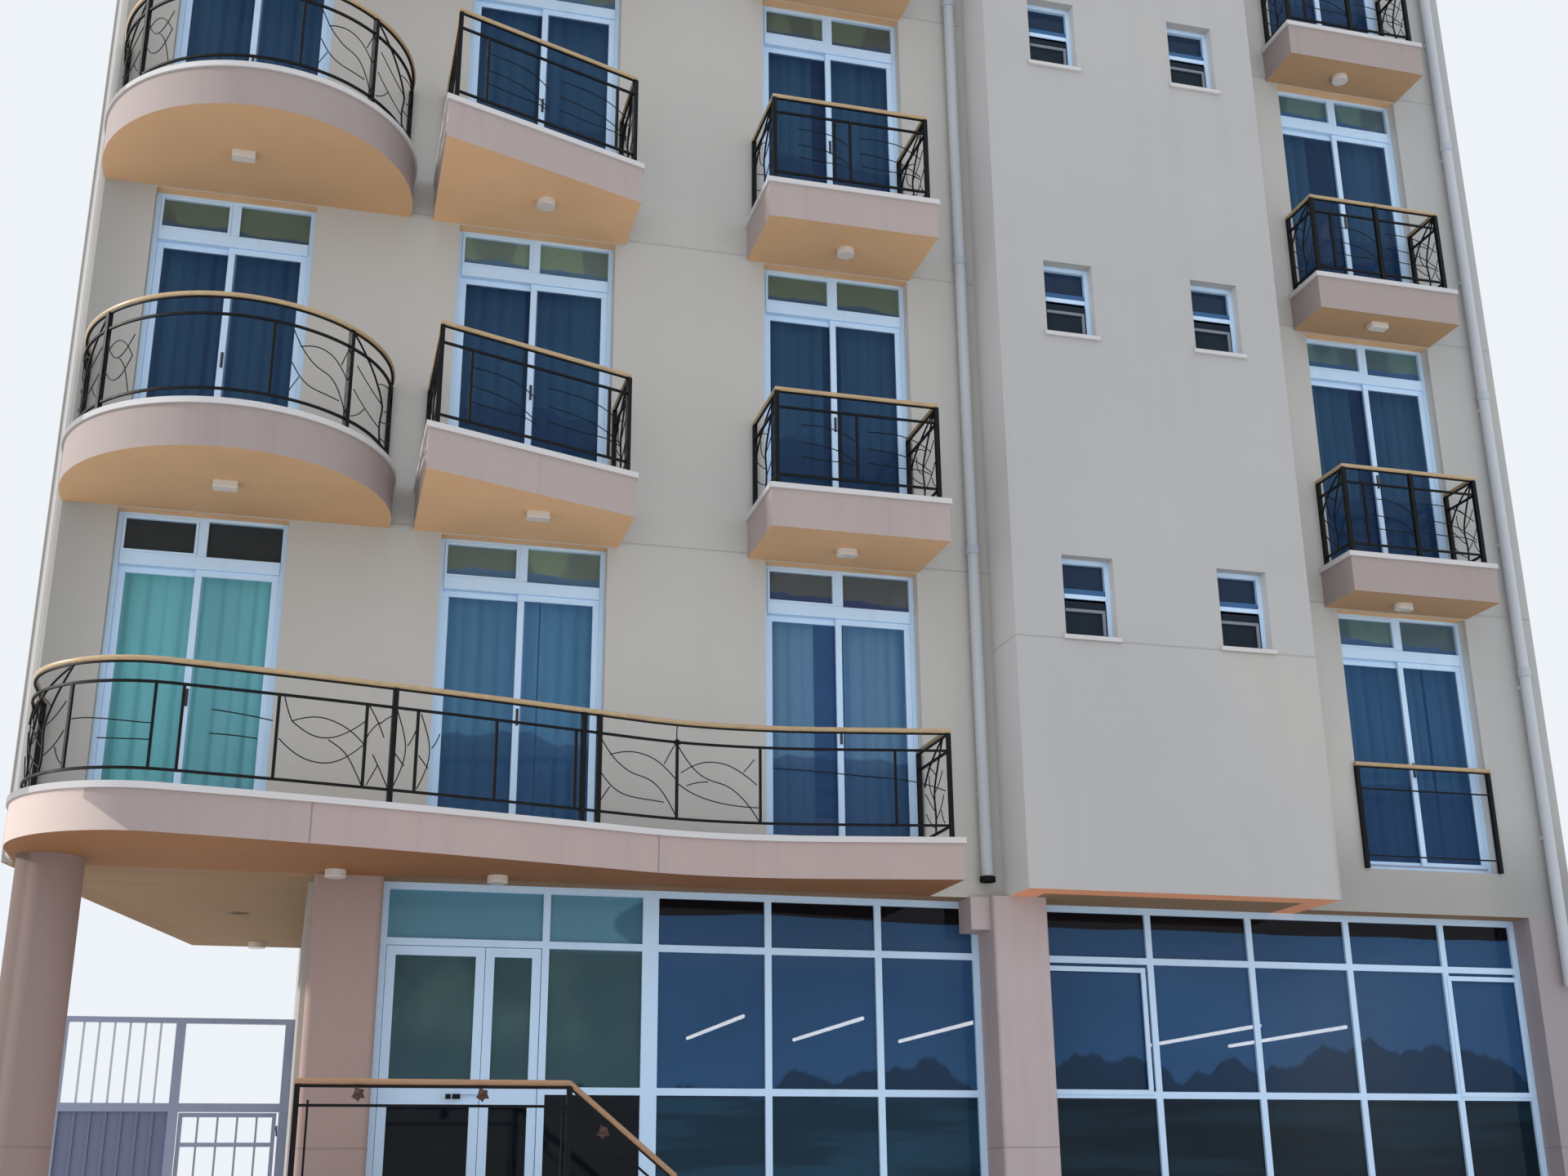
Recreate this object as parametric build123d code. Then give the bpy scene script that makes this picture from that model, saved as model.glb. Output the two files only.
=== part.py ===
"""Hotel front building: a raised ground storey with shop-like glazing, four upper storeys with balconies,
a projecting bathroom bay and a covered side passage. Millimetres, +Z up, the street front faces -Y."""

import math
import os

from build123d import *

# Levels, counted up from the lowest ground
GROUND_FLOOR = 900
FIRST_FLOOR = 3980
STOREY = 3100
UPPER_STOREYS = 4
TRANSFER_SLAB = 420
UPPER_SLAB = 300
GROUND_SLAB = 200
PARAPET = 900
SOFFIT = FIRST_FLOOR - TRANSFER_SLAB
ROOF = FIRST_FLOOR + UPPER_STOREYS * STOREY
WALL_TOP = ROOF + PARAPET
FLOORS = [FIRST_FLOOR + STOREY * n for n in range(UPPER_STOREYS)]
UPPER_FLOORS = FLOORS[1:]
REAR_FLOORS = [GROUND_FLOOR] + FLOORS

# The street front in turn, from its left corner to its right one
LEFT_MARGIN = 540
FIRST_DOOR_WIDTH = 1400
AFTER_FIRST_DOOR = 1300
DOOR_WIDTH = 1480
AFTER_SECOND_DOOR = 1470
BEFORE_BAY = 720
BAY_WIDTH = 3070
AFTER_BAY = 690
RIGHT_MARGIN = 790
FIRST_DOOR = LEFT_MARGIN
SECOND_DOOR = FIRST_DOOR + FIRST_DOOR_WIDTH + AFTER_FIRST_DOOR
THIRD_DOOR = SECOND_DOOR + DOOR_WIDTH + AFTER_SECOND_DOOR
BAY_LEFT = THIRD_DOOR + DOOR_WIDTH + BEFORE_BAY
BAY_RIGHT = BAY_LEFT + BAY_WIDTH
LAST_DOOR = BAY_RIGHT + AFTER_BAY
FRONT_WIDTH = LAST_DOOR + DOOR_WIDTH + RIGHT_MARGIN
DOORS = [(FIRST_DOOR, FIRST_DOOR_WIDTH), (SECOND_DOOR, DOOR_WIDTH), (THIRD_DOOR, DOOR_WIDTH), (LAST_DOOR, DOOR_WIDTH)]

# The rest of the plan
DEPTH = 9300
WALL = 250
BAY_OUT = 600
PASSAGE_WIDTH = 2340
PASSAGE_DEPTH = 4650
SKEW = 1250
BODY_LEFT = PASSAGE_WIDTH
INNER_LEFT = BODY_LEFT + WALL
INNER_RIGHT = FRONT_WIDTH - WALL
INNER_BACK = DEPTH - WALL

# Balcony doors: a fixed top light over two sliding sashes
DOOR_HEIGHT = 2620
TRANSOM_LIGHT = 500
FRAME_RECESS = 110
FRAME_DEPTH = 80
FRAME_BAR = 55
SASH_DEPTH = 30
SASH_BAR = 50
SASH_OVERLAP = 60
FRONT_TRACK = 8
BACK_TRACK = 42
GLASS = 8
CURTAIN = 60
CURTAIN_LAP = 80
CURTAIN_GAP = 20

# Small and plain windows
BATH_WIDTH = 520
BATH_HEIGHT = 785
BATH_SILL = 1925
BATH_FRAME = 45
BATH_FROM_BAY_LEFT = 500
BATH_FROM_BAY_RIGHT = 450
SIDE_FROM_FRONT = 2300
SIDE_FROM_BACK = 2480
PLAIN_WIDTH = 1480
PLAIN_HEIGHT = 1300
PLAIN_SILL = 950
PLAIN_MARGIN = 1060
PLAIN_WINDOWS = 4
SILL_OUT = 30
SILL_THICK = 40

# Balcony slabs
BALCONY_DEPTH = 410
COPING = 50
COPING_OUT = 20
COPING_WIDTH = 130
COPING_BELOW_DOOR = 60

# Balcony plans: how far each one reaches past its door and out from the wall
ROUND_SHIFT = 200
ROUND_CENTRE_OUT = 150
ROUND_RADIUS = 1350
ANGLED_LEFT_LAP = 250
ANGLED_RIGHT_LAP = 100
ANGLED_OUT_LEFT = 1460
ANGLED_OUT_RIGHT = 790
MIDDLE_LEFT_LAP = 170
MIDDLE_RIGHT_LAP = 20
MIDDLE_OUT = 880
END_LEFT_LAP = 140
END_RIGHT_LAP = 30
END_OUT = 550
LONG_LEFT = 95
LONG_SIDE = 560
LONG_LOBE_FROM_DOOR = 710
LONG_LOBE_OUT = 1535
LONG_FALL_FROM_DOOR = 160
LONG_FALL_OUT = 1090
LONG_SAG_PAST_DOOR = 180
LONG_SAG_OUT = 700
LONG_HOLLOW_BEFORE_DOOR = 440
LONG_HOLLOW_OUT = 590
LONG_RISE_PAST_DOOR = 310
LONG_RISE_OUT = 660

# Railings, heights counted from the top of the coping
RAIL_TOP = 970
RAIL_INSET = 70
HANDRAIL_RADIUS = 22
MID_BAR_HEIGHT = 772
BOTTOM_BAR_HEIGHT = 115
BAR = 20
TOP_FLAT = 12
UPRIGHT = 22
POST = 40
SHARP_TURN = 20
CORNER_STEP = 5
# Places of uprights and posts, as parts of the length of each railing
LONG_UPRIGHTS = (0.134, 0.258, 0.3355, 0.433, 0.506, 0.575, 0.618, 0.6895, 0.763, 0.784, 0.852)
LONG_POSTS = (0.411, 0.426, 0.595)
ROUND_UPRIGHTS = (0.566,)
ROUND_POSTS = (0.22, 0.73)
ANGLED_UPRIGHTS = (0.24, 0.58)
MIDDLE_UPRIGHTS = (0.503, 0.553)
END_UPRIGHTS = (0.72,)
END_POSTS = (0.495,)
JULIET_OUT = 40
JULIET_HEIGHT = 1000

# Ceiling lamps
LAMP_DEPTH = 60
LAMP_RADIUS = 85
LAMP_LENGTH = 200
LAMP_WIDTH = 110
LAMP_ROUNDING = 15
LAMP_EDGE = 8
# Lamps under the balconies, lowest first: place beside the door's middle, part of the depth out, outline
ROUND_LAMPS = [(188, 0.495, "box"), (64, 0.485, "box"), (64, 0.49, "disc")]
ANGLED_LAMPS = [(17, 0.60, "box"), (-12, 0.53, "disc"), (0, 0.56, "box")]
MIDDLE_LAMPS = [(-83, 0.49, "oval"), (-33, 0.49, "disc"), (-50, 0.49, "box")]
END_LAMPS = [(-156, 0.49, "oval"), (-92, 0.63, "box"), (-121, 0.505, "disc")]
LOBBY_LAMP_OUT = 200
PASSAGE_LAMP_LEFT = 440
PASSAGE_LAMP_BACK = 350

# Ground storey
COLUMN_X = 400
COLUMN_OUT = 300
COLUMN_RADIUS = 250
ENTRANCE_PIER_MARGIN = 40
ENTRANCE_PIER_WIDTH = 560
MIDDLE_PIER_LAP = 160
MIDDLE_PIER_WIDTH = 520
MIDDLE_PIER_OUT = 150
RIGHT_PIER_WIDTH = 530
PIER_BACK = 400
PIER_ROUNDING = 60
BEAM_END_WIDTH = 180
BEAM_END_DROP = 290
SHOPFRONT_Y = 250
SHOPFRONT_DEPTH = 60
SHOPFRONT_BAR = 60
THICK_BAR = 140
UPPER_RAIL = 3040
LOWER_RAIL = 1850
DOOR_BAY = 1350
SIDE_LIGHT = 860
LEFT_FIRST_PANE = 945
LEFT_PANE_STEP = 1012
RIGHT_FIRST_PANE = 1140
RIGHT_PANE_STEP = 1045
RIGHT_BARS = 4
ENTRANCE_PIER_X = BODY_LEFT + ENTRANCE_PIER_MARGIN
GLAZING_LEFT = ENTRANCE_PIER_X + ENTRANCE_PIER_WIDTH
MIDDLE_PIER_X = BAY_LEFT - MIDDLE_PIER_LAP
MIDDLE_PIER_END = MIDDLE_PIER_X + MIDDLE_PIER_WIDTH
RIGHT_PIER_X = FRONT_WIDTH - RIGHT_PIER_WIDTH
DOOR_BAY_RIGHT = GLAZING_LEFT + DOOR_BAY
THICK_BAR_X = DOOR_BAY_RIGHT + SIDE_LIGHT

# Entrance doors
LEAF = 45
LEAF_GAP = 5
LEAF_STILE = 75
LEAF_MID_RAIL_LOW = 1750
LEAF_MID_RAIL_HIGH = 1950
WIDE_LEAF_SHARE = 0.635
HANDLE_LENGTH = 120
HANDLE_OUT = 40
HANDLE_THICK = 20
KNUCKLE_RADIUS = 8
KNUCKLE_LENGTH = 50
KNUCKLE_GAP = 0.3
KNUCKLE_FLAP = 30
DOOR_KNUCKLE_CLEAR = 1
GATE_KNUCKLE_CLEAR = 2
DOOR_HINGES = [1150, 2150, 2800]
GATE_HINGES = [300, 1650]

# Entrance platform, steps and railing
PLATFORM_OUT = 1350
PLATFORM_PAST_DOOR = 70
RISERS = 5
GOING = 220
RISE = GROUND_FLOOR / RISERS
STEP_RAIL_END = 3
PLATFORM_RIGHT = DOOR_BAY_RIGHT + PLATFORM_PAST_DOOR

# Passage gate
GATE_FROM_BACK = 450
GATE_LEFT = 100
GATE_POST = 90
GATE_MIDDLE = 1200
GATE_TOP = 2780
GATE_RAIL = 50
GATE_TRANSOM = 1880
GATE_TRANSOM_HEIGHT = 80
GATE_BAR = 20
GATE_BARS = 6
GATE_LEAF_BARS = 4
GATE_SHEET = 4
GATE_RIB = 25
GATE_FOOT = 60
GATE_LEAF = 40
GATE_LEAF_GAP = 10
GATE_LEAF_RAIL = 1550
GATE_Y = PASSAGE_DEPTH - GATE_FROM_BACK

# Downpipes
PIPE_RADIUS = 55
PIPE_OUT = 80
BAY_PIPE_GAP = 175
CORNER_PIPE_GAP = 230
BAY_PIPE_END = SOFFIT + 150
CORNER_PIPE_DROP = 660
CORNER_PIPE_END = SOFFIT - CORNER_PIPE_DROP
PIPE_CLIP = 40
PIPE_CLIP_STEP = 1550

parts = {}


def block(x0, x1, y0, y1, z0, z1):
    """A rectangular piece between two corners."""
    size = Box(x1 - x0, y1 - y0, z1 - z0, align=(Align.MIN, Align.MIN, Align.MIN))
    return Pos(x0, y0, z0) * size


def prism(face, z0, z1):
    """A piece with a plan outline, between two levels."""
    return Pos(0, 0, z0) * extrude(face, amount=z1 - z0, dir=(0, 0, 1))


def region(x0, x1, y0, y1):
    """A rectangle in plan."""
    return make_face(Polyline((x0, y0), (x1, y0), (x1, y1), (x0, y1), close=True))


def node(name, *shapes):
    """Gathers the solids of one named node."""
    solids = [s for shape in shapes for s in shape.solids()]
    parts[name] = Compound(solids, label=name)


# Plan of the upper storeys, with the bay and the skewed left wall
front_edge = [(0, 0), (BAY_LEFT, 0), (BAY_LEFT, -BAY_OUT), (BAY_RIGHT, -BAY_OUT), (BAY_RIGHT, 0), (FRONT_WIDTH, 0)]
back_edge = [(FRONT_WIDTH, DEPTH), (BODY_LEFT, DEPTH), (BODY_LEFT, PASSAGE_DEPTH), (SKEW, PASSAGE_DEPTH)]
outer = make_face(Polyline(front_edge + back_edge, close=True))
inner = offset(outer, amount=-WALL, kind=Kind.INTERSECTION)
ring = outer - inner
bay_inner = WALL - BAY_OUT


def holes(columns, width, sill, height, floors, y0, y1):
    """Openings cut through a wall that runs along X."""
    return [block(x, x + width, y0, y1, f + sill, f + sill + height) for x in columns for f in floors]


bath_columns = [BAY_LEFT + BATH_FROM_BAY_LEFT, BAY_RIGHT - BATH_FROM_BAY_RIGHT - BATH_WIDTH]
side_rows = [SIDE_FROM_FRONT, DEPTH - SIDE_FROM_BACK - BATH_WIDTH]
plain_pitch = (FRONT_WIDTH - BODY_LEFT - 2 * PLAIN_MARGIN - PLAIN_WIDTH) / (PLAIN_WINDOWS - 1)
plain_columns = [BODY_LEFT + PLAIN_MARGIN + plain_pitch * n for n in range(PLAIN_WINDOWS)]
door_holes = [block(x, x + w, -WALL, 2 * WALL, f, f + DOOR_HEIGHT) for x, w in DOORS for f in FLOORS]
bath_holes = holes(bath_columns, BATH_WIDTH, BATH_SILL, BATH_HEIGHT, FLOORS, -BAY_OUT - WALL, 0)
rear_reach = (DEPTH - 2 * WALL, DEPTH + WALL)
rear_holes = holes(plain_columns, PLAIN_WIDTH, PLAIN_SILL, PLAIN_HEIGHT, REAR_FLOORS, *rear_reach)
side_holes = [
    block(INNER_RIGHT - WALL, FRONT_WIDTH + WALL, y, y + BATH_WIDTH, f + BATH_SILL, f + BATH_SILL + BATH_HEIGHT)
    for y in side_rows for f in FLOORS
]

# Walls
node("front_wall_left", prism(ring & region(0, BAY_LEFT, 0, WALL), SOFFIT, WALL_TOP) - door_holes)
node("front_wall_right", block(BAY_RIGHT, FRONT_WIDTH, 0, WALL, SOFFIT, WALL_TOP) - door_holes)
node("bay_front_wall", block(BAY_LEFT, BAY_RIGHT, -BAY_OUT, bay_inner, SOFFIT, WALL_TOP) - bath_holes)
node("bay_side_walls", prism(ring & region(BAY_LEFT, BAY_RIGHT, bay_inner, WALL), SOFFIT, WALL_TOP))
back_of_overhang = PASSAGE_DEPTH - WALL
node("skewed_left_wall", prism(ring & region(0, BODY_LEFT, WALL, back_of_overhang), SOFFIT, WALL_TOP))
node("overhang_rear_wall", prism(ring & region(0, INNER_LEFT, back_of_overhang, PASSAGE_DEPTH), SOFFIT, WALL_TOP))
node("rear_left_wall", block(BODY_LEFT, INNER_LEFT, PASSAGE_DEPTH, INNER_BACK, 0, WALL_TOP))
node("passage_wall", block(BODY_LEFT, INNER_LEFT, PIER_BACK, PASSAGE_DEPTH, 0, SOFFIT))
node("rear_wall", block(BODY_LEFT, FRONT_WIDTH, INNER_BACK, DEPTH, 0, WALL_TOP) - rear_holes)
right_upper = block(INNER_RIGHT, FRONT_WIDTH, WALL, INNER_BACK, SOFFIT, WALL_TOP)
right_lower = block(INNER_RIGHT, FRONT_WIDTH, PIER_BACK, INNER_BACK, 0, SOFFIT)
node("right_wall", (right_upper + right_lower) - side_holes)

# Floors and roof
node("first_floor_slab", prism(inner, SOFFIT, FIRST_FLOOR))
node("upper_floor_slabs", *[prism(inner, f - UPPER_SLAB, f) for f in UPPER_FLOORS])
node("roof_slab", prism(inner, ROOF - UPPER_SLAB, ROOF))
coping_outer = offset(outer, amount=COPING_OUT, kind=Kind.INTERSECTION)
coping_inner = offset(inner, amount=-COPING_OUT, kind=Kind.INTERSECTION)
node("roof_coping", prism(coping_outer - coping_inner, WALL_TOP, WALL_TOP + COPING))
ground_slab_base = GROUND_FLOOR - GROUND_SLAB
node("ground_floor_slab", block(INNER_LEFT, INNER_RIGHT, PIER_BACK, INNER_BACK, ground_slab_base, GROUND_FLOOR))


def pier(x, width, y0, rounding):
    """A rectangular pier with its front corners rounded."""
    body = block(x, x + width, y0, PIER_BACK, 0, SOFFIT)
    front = body.edges().filter_by(Axis.Z).group_by(Axis.Y)[0]
    return fillet(front, rounding)


# Ground storey: column, piers, plinth
on_ground = (Align.CENTER, Align.CENTER, Align.MIN)
node("round_column", Pos(COLUMN_X, -COLUMN_OUT, 0) * Cylinder(COLUMN_RADIUS, SOFFIT, align=on_ground))
middle_pier = pier(MIDDLE_PIER_X, MIDDLE_PIER_WIDTH, -MIDDLE_PIER_OUT, PIER_ROUNDING / 2)
beam_end = block(
    MIDDLE_PIER_X - BEAM_END_WIDTH, MIDDLE_PIER_X, -PIER_ROUNDING, SHOPFRONT_Y, SOFFIT - BEAM_END_DROP, SOFFIT
)
node(
    "front_piers",
    pier(ENTRANCE_PIER_X, ENTRANCE_PIER_WIDTH, 0, PIER_ROUNDING),
    middle_pier + beam_end,
    block(RIGHT_PIER_X, FRONT_WIDTH, 0, PIER_BACK, 0, SOFFIT),
)
node(
    "front_plinth",
    block(GLAZING_LEFT, MIDDLE_PIER_X, SHOPFRONT_Y, PIER_BACK, 0, GROUND_FLOOR),
    block(MIDDLE_PIER_END, RIGHT_PIER_X, SHOPFRONT_Y, PIER_BACK, 0, GROUND_FLOOR),
)

# Entrance platform and its steps down to the right
platform = block(BODY_LEFT, PLATFORM_RIGHT, -PLATFORM_OUT, 0, 0, GROUND_FLOOR)
platform_back = block(GLAZING_LEFT, PLATFORM_RIGHT, 0, SHOPFRONT_Y, 0, GROUND_FLOOR)
node("entrance_platform", platform + platform_back)
steps = None
for n in range(RISERS - 1):
    x = PLATFORM_RIGHT + GOING * n
    step = block(x, x + GOING, -PLATFORM_OUT, SHOPFRONT_Y, 0, GROUND_FLOOR - RISE * (n + 1))
    steps = steps + step if steps else step
node("entrance_steps", steps)


def inset_line(line, inset):
    """The same line moved in from the edge, or out from it where the inset is negative."""
    if inset == 0:
        return line
    side = Side.LEFT if inset > 0 else Side.RIGHT
    return line.offset_2d(abs(inset), kind=Kind.INTERSECTION, side=side, closed=False)


# Balcony plans: open lines from the facade round to the facade
def round_line(inset=0):
    """Circular balcony of the first column, cut by the facade."""
    x = FIRST_DOOR + FIRST_DOOR_WIDTH / 2 + ROUND_SHIFT
    r = ROUND_RADIUS - inset
    half = math.sqrt(r * r - ROUND_CENTRE_OUT * ROUND_CENTRE_OUT)
    return Wire([ThreePointArc((x - half, 0), (x, -ROUND_CENTRE_OUT - r), (x + half, 0))])


def four_point_line(x0, x1, out_left, out_right, inset):
    """Balcony with straight sides, square or wedge-shaped."""
    line = Polyline((x0, 0), (x0, -out_left), (x1, -out_right), (x1, 0))
    return inset_line(Wire(line.edges()), inset)


def angled_line(inset=0):
    """Wedge-shaped balcony of the second column, deeper on its left side."""
    x0 = SECOND_DOOR - ANGLED_LEFT_LAP
    x1 = SECOND_DOOR + DOOR_WIDTH + ANGLED_RIGHT_LAP
    return four_point_line(x0, x1, ANGLED_OUT_LEFT, ANGLED_OUT_RIGHT, inset)


def middle_line(inset=0):
    """Balcony of the third column."""
    x0 = THIRD_DOOR - MIDDLE_LEFT_LAP
    return four_point_line(x0, THIRD_DOOR + DOOR_WIDTH + MIDDLE_RIGHT_LAP, MIDDLE_OUT, MIDDLE_OUT, inset)


def end_line(inset=0):
    """Balcony of the last column."""
    x0 = LAST_DOOR - END_LEFT_LAP
    return four_point_line(x0, LAST_DOOR + DOOR_WIDTH + END_RIGHT_LAP, END_OUT, END_OUT, inset)


def long_line(inset=0):
    """First-floor balcony: a round left end that runs on in one waving front."""
    right = THIRD_DOOR + DOOR_WIDTH + MIDDLE_RIGHT_LAP
    side = Line((LONG_LEFT, 0), (LONG_LEFT, -LONG_SIDE))
    lobe = TangentArc(side @ 1, (FIRST_DOOR + LONG_LOBE_FROM_DOOR, -LONG_LOBE_OUT), tangent=side % 1)
    fall = TangentArc(lobe @ 1, (SECOND_DOOR + LONG_FALL_FROM_DOOR, -LONG_FALL_OUT), tangent=lobe % 1)
    sag_end = (SECOND_DOOR + DOOR_WIDTH + LONG_SAG_PAST_DOOR, -LONG_SAG_OUT)
    sag = TangentArc(fall @ 1, sag_end, tangent=fall % 1)
    hollow = TangentArc(sag @ 1, (THIRD_DOOR - LONG_HOLLOW_BEFORE_DOOR, -LONG_HOLLOW_OUT), tangent=sag % 1)
    rise = TangentArc(hollow @ 1, (THIRD_DOOR + LONG_RISE_PAST_DOOR, -LONG_RISE_OUT), tangent=hollow % 1)
    front = Line(rise @ 1, (right, -MIDDLE_OUT))
    end = Line(front @ 1, (right, 0))
    return inset_line(Wire([side, lobe, fall, sag, hollow, rise, front, end]), inset)


def plan(line):
    """The area between a balcony line and the facade."""
    return make_face(line.edges() + [Line(line @ 1, line @ 0)])


def balcony_slab(shape, floor):
    """Slab of a balcony below its coping; the lowest one ends level with the soffit of the overhang."""
    top = floor - COPING_BELOW_DOOR - COPING
    return prism(plan(shape(0)), max(SOFFIT, floor - COPING_BELOW_DOOR - BALCONY_DEPTH), top)


def coping(shape, floor):
    """Thin edging on a balcony, standing a little proud of its face."""
    strip = plan(shape(-COPING_OUT)) - plan(shape(COPING_WIDTH))
    top = floor - COPING_BELOW_DOOR
    return prism(strip, top - COPING, top)


# Railings on the balcony plans
def swept(line, z, profile):
    """A bar of one section that follows a plan line at one level and ends at the wall."""
    path = Pos(0, 0, z) * line
    start = Plane(origin=path @ 0, x_dir=(0, 0, 1), z_dir=path % 0)
    bar = sweep(start * profile, path=path, transition=Transition.RIGHT)
    return bar - block(0, FRONT_WIDTH, 0, WALL, z - WALL, z + WALL)


def corners(line):
    """Distances along a line at which it turns sharply."""
    found = []
    distance = 0
    for edge in line.order_edges()[:-1]:
        distance += edge.length
        before = line.tangent_at(distance - CORNER_STEP, position_mode=PositionMode.LENGTH)
        after = line.tangent_at(distance + CORNER_STEP, position_mode=PositionMode.LENGTH)
        if before.get_angle(after) > SHARP_TURN:
            found.append(distance)
    return found


def standing_bar(line, distance, size, z0, z1):
    """A square upright at a distance along a line, turned with the line."""
    point = line.position_at(distance, position_mode=PositionMode.LENGTH)
    along = line.tangent_at(distance, position_mode=PositionMode.LENGTH)
    foot = Plane(origin=(point.X, point.Y, z0), x_dir=along, z_dir=(0, 0, 1))
    return foot * Box(size, size, z1 - z0, align=on_ground)


def railing(shape, floor, uprights, posts=()):
    """Iron railing: three bars along the line, uprights between the lower two, posts down to the coping."""
    base = floor - COPING_BELOW_DOOR
    line = shape(RAIL_INSET)
    top = base + RAIL_TOP - 2 * HANDRAIL_RADIUS
    low = base + BOTTOM_BAR_HEIGHT
    middle = base + MID_BAR_HEIGHT
    bars = swept(line, low, Rectangle(BAR, BAR)) + swept(line, middle, Rectangle(BAR, BAR))
    bars = bars + swept(line, top - TOP_FLAT / 2, Rectangle(TOP_FLAT, BAR))
    standing = [standing_bar(line, line.length * part, UPRIGHT, low, middle) for part in uprights]
    ends = [POST / 2, line.length - POST / 2]
    for distance in ends + corners(line) + [line.length * part for part in posts]:
        standing.append(standing_bar(line, distance, POST, base, top))
    return (bars + standing) - block(0, FRONT_WIDTH, 0, WALL, base, top)


def handrail(shape, floor):
    """Round wooden rail on top of a railing."""
    centre = floor - COPING_BELOW_DOOR + RAIL_TOP - HANDRAIL_RADIUS
    return swept(shape(RAIL_INSET), centre, Circle(HANDRAIL_RADIUS))


upper_shapes = [round_line, angled_line, middle_line, end_line]
node("long_balcony_slab", balcony_slab(long_line, FIRST_FLOOR))
node("round_balcony_slabs", *[balcony_slab(round_line, f) for f in UPPER_FLOORS])
node("angled_balcony_slabs", *[balcony_slab(angled_line, f) for f in UPPER_FLOORS])
node("square_balcony_slabs", *[balcony_slab(s, f) for s in (middle_line, end_line) for f in UPPER_FLOORS])
upper_copings = [coping(s, f) for s in upper_shapes for f in UPPER_FLOORS]
node("balcony_copings", coping(long_line, FIRST_FLOOR), *upper_copings)
node("long_balcony_railing", railing(long_line, FIRST_FLOOR, LONG_UPRIGHTS, LONG_POSTS))
node("round_balcony_railings", *[railing(round_line, f, ROUND_UPRIGHTS, ROUND_POSTS) for f in UPPER_FLOORS])
node("angled_balcony_railings", *[railing(angled_line, f, ANGLED_UPRIGHTS) for f in UPPER_FLOORS])
node("middle_balcony_railings", *[railing(middle_line, f, MIDDLE_UPRIGHTS) for f in UPPER_FLOORS])
node("end_balcony_railings", *[railing(end_line, f, END_UPRIGHTS, END_POSTS) for f in UPPER_FLOORS])


# Low guard across the last door of the first floor
def juliet_guard():
    """The guard's iron bars and its wooden rail."""
    x0 = LAST_DOOR - BAR
    x1 = LAST_DOOR + DOOR_WIDTH + BAR
    top = FIRST_FLOOR + JULIET_HEIGHT
    guard = None
    for z in (FIRST_FLOOR + BOTTOM_BAR_HEIGHT, FIRST_FLOOR + MID_BAR_HEIGHT, top - TOP_FLAT):
        flat = block(x0, x1, -JULIET_OUT, -JULIET_OUT + BAR, z, z + TOP_FLAT)
        guard = guard + flat if guard else flat
    for x in (x0, x1 - POST):
        guard = guard + block(x, x + POST, -JULIET_OUT, 0, FIRST_FLOOR, top)
    place = Pos((x0 + x1) / 2, -JULIET_OUT + BAR / 2, top + HANDRAIL_RADIUS)
    return guard, place * (Rot(0, 90, 0) * Cylinder(HANDRAIL_RADIUS, x1 - x0))


juliet, juliet_rail = juliet_guard()
node("juliet_railing", juliet)
upper_rails = [handrail(s, f) for s in upper_shapes for f in UPPER_FLOORS]
node("balcony_handrails", handrail(long_line, FIRST_FLOOR), *upper_rails, juliet_rail)


def lamp(x, y, z, outline):
    """Small ceiling lamp with a rounded lower edge, its top against a soffit."""
    if outline == "disc":
        face = Circle(LAMP_RADIUS)
    elif outline == "oval":
        face = SlotOverall(LAMP_LENGTH, LAMP_WIDTH)
    else:
        face = RectangleRounded(LAMP_LENGTH, LAMP_WIDTH, LAMP_ROUNDING)
    body = extrude(face, amount=-LAMP_DEPTH)
    body = fillet(body.faces().sort_by(Axis.Z)[0].edges(), LAMP_EDGE)
    return Pos(x, y, z) * body


lamp_plans = [
    (FIRST_DOOR + FIRST_DOOR_WIDTH / 2, ROUND_CENTRE_OUT + ROUND_RADIUS, ROUND_LAMPS),
    (SECOND_DOOR + DOOR_WIDTH / 2, (ANGLED_OUT_LEFT + ANGLED_OUT_RIGHT) / 2, ANGLED_LAMPS),
    (THIRD_DOOR + DOOR_WIDTH / 2, MIDDLE_OUT, MIDDLE_LAMPS),
    (LAST_DOOR + DOOR_WIDTH / 2, END_OUT, END_LAMPS),
]
balcony_drop = COPING_BELOW_DOOR + BALCONY_DEPTH
lamps = [
    lamp(x + aside, -out * part, f - balcony_drop, outline)
    for x, out, lamp_row in lamp_plans for f, (aside, part, outline) in zip(UPPER_FLOORS, lamp_row)
]
lamps.append(lamp(BODY_LEFT + LOBBY_LAMP_OUT, -LOBBY_LAMP_OUT, SOFFIT, "disc"))
lamps.append(lamp(DOOR_BAY_RIGHT - DOOR_BAY / 3, -LOBBY_LAMP_OUT, SOFFIT, "disc"))
lamps.append(lamp(BODY_LEFT - PASSAGE_LAMP_LEFT, PASSAGE_DEPTH - PASSAGE_LAMP_BACK, SOFFIT, "disc"))
node("ceiling_lights", *lamps)


# Balcony doors
def ring_frame(x0, x1, y0, y1, z0, z1, bar):
    """A rectangular frame of one bar width."""
    return block(x0, x1, y0, y1, z0, z1) - block(x0 + bar, x1 - bar, y0, y1, z0 + bar, z1 - bar)


def door_frame(x, width, floor, rail):
    """Fixed frame: head, sill and jambs, a rail under the top light and a bar in its middle."""
    y0 = FRAME_RECESS
    y1 = FRAME_RECESS + FRAME_DEPTH
    middle = x + width / 2
    frame = ring_frame(x, x + width, y0, y1, floor, floor + DOOR_HEIGHT, FRAME_BAR)
    frame = frame + block(x + FRAME_BAR, x + width - FRAME_BAR, y0, y1, rail, rail + FRAME_BAR)
    top = floor + DOOR_HEIGHT - FRAME_BAR
    return frame + block(middle - FRAME_BAR / 2, middle + FRAME_BAR / 2, y0, y1, rail + FRAME_BAR, top)


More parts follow.
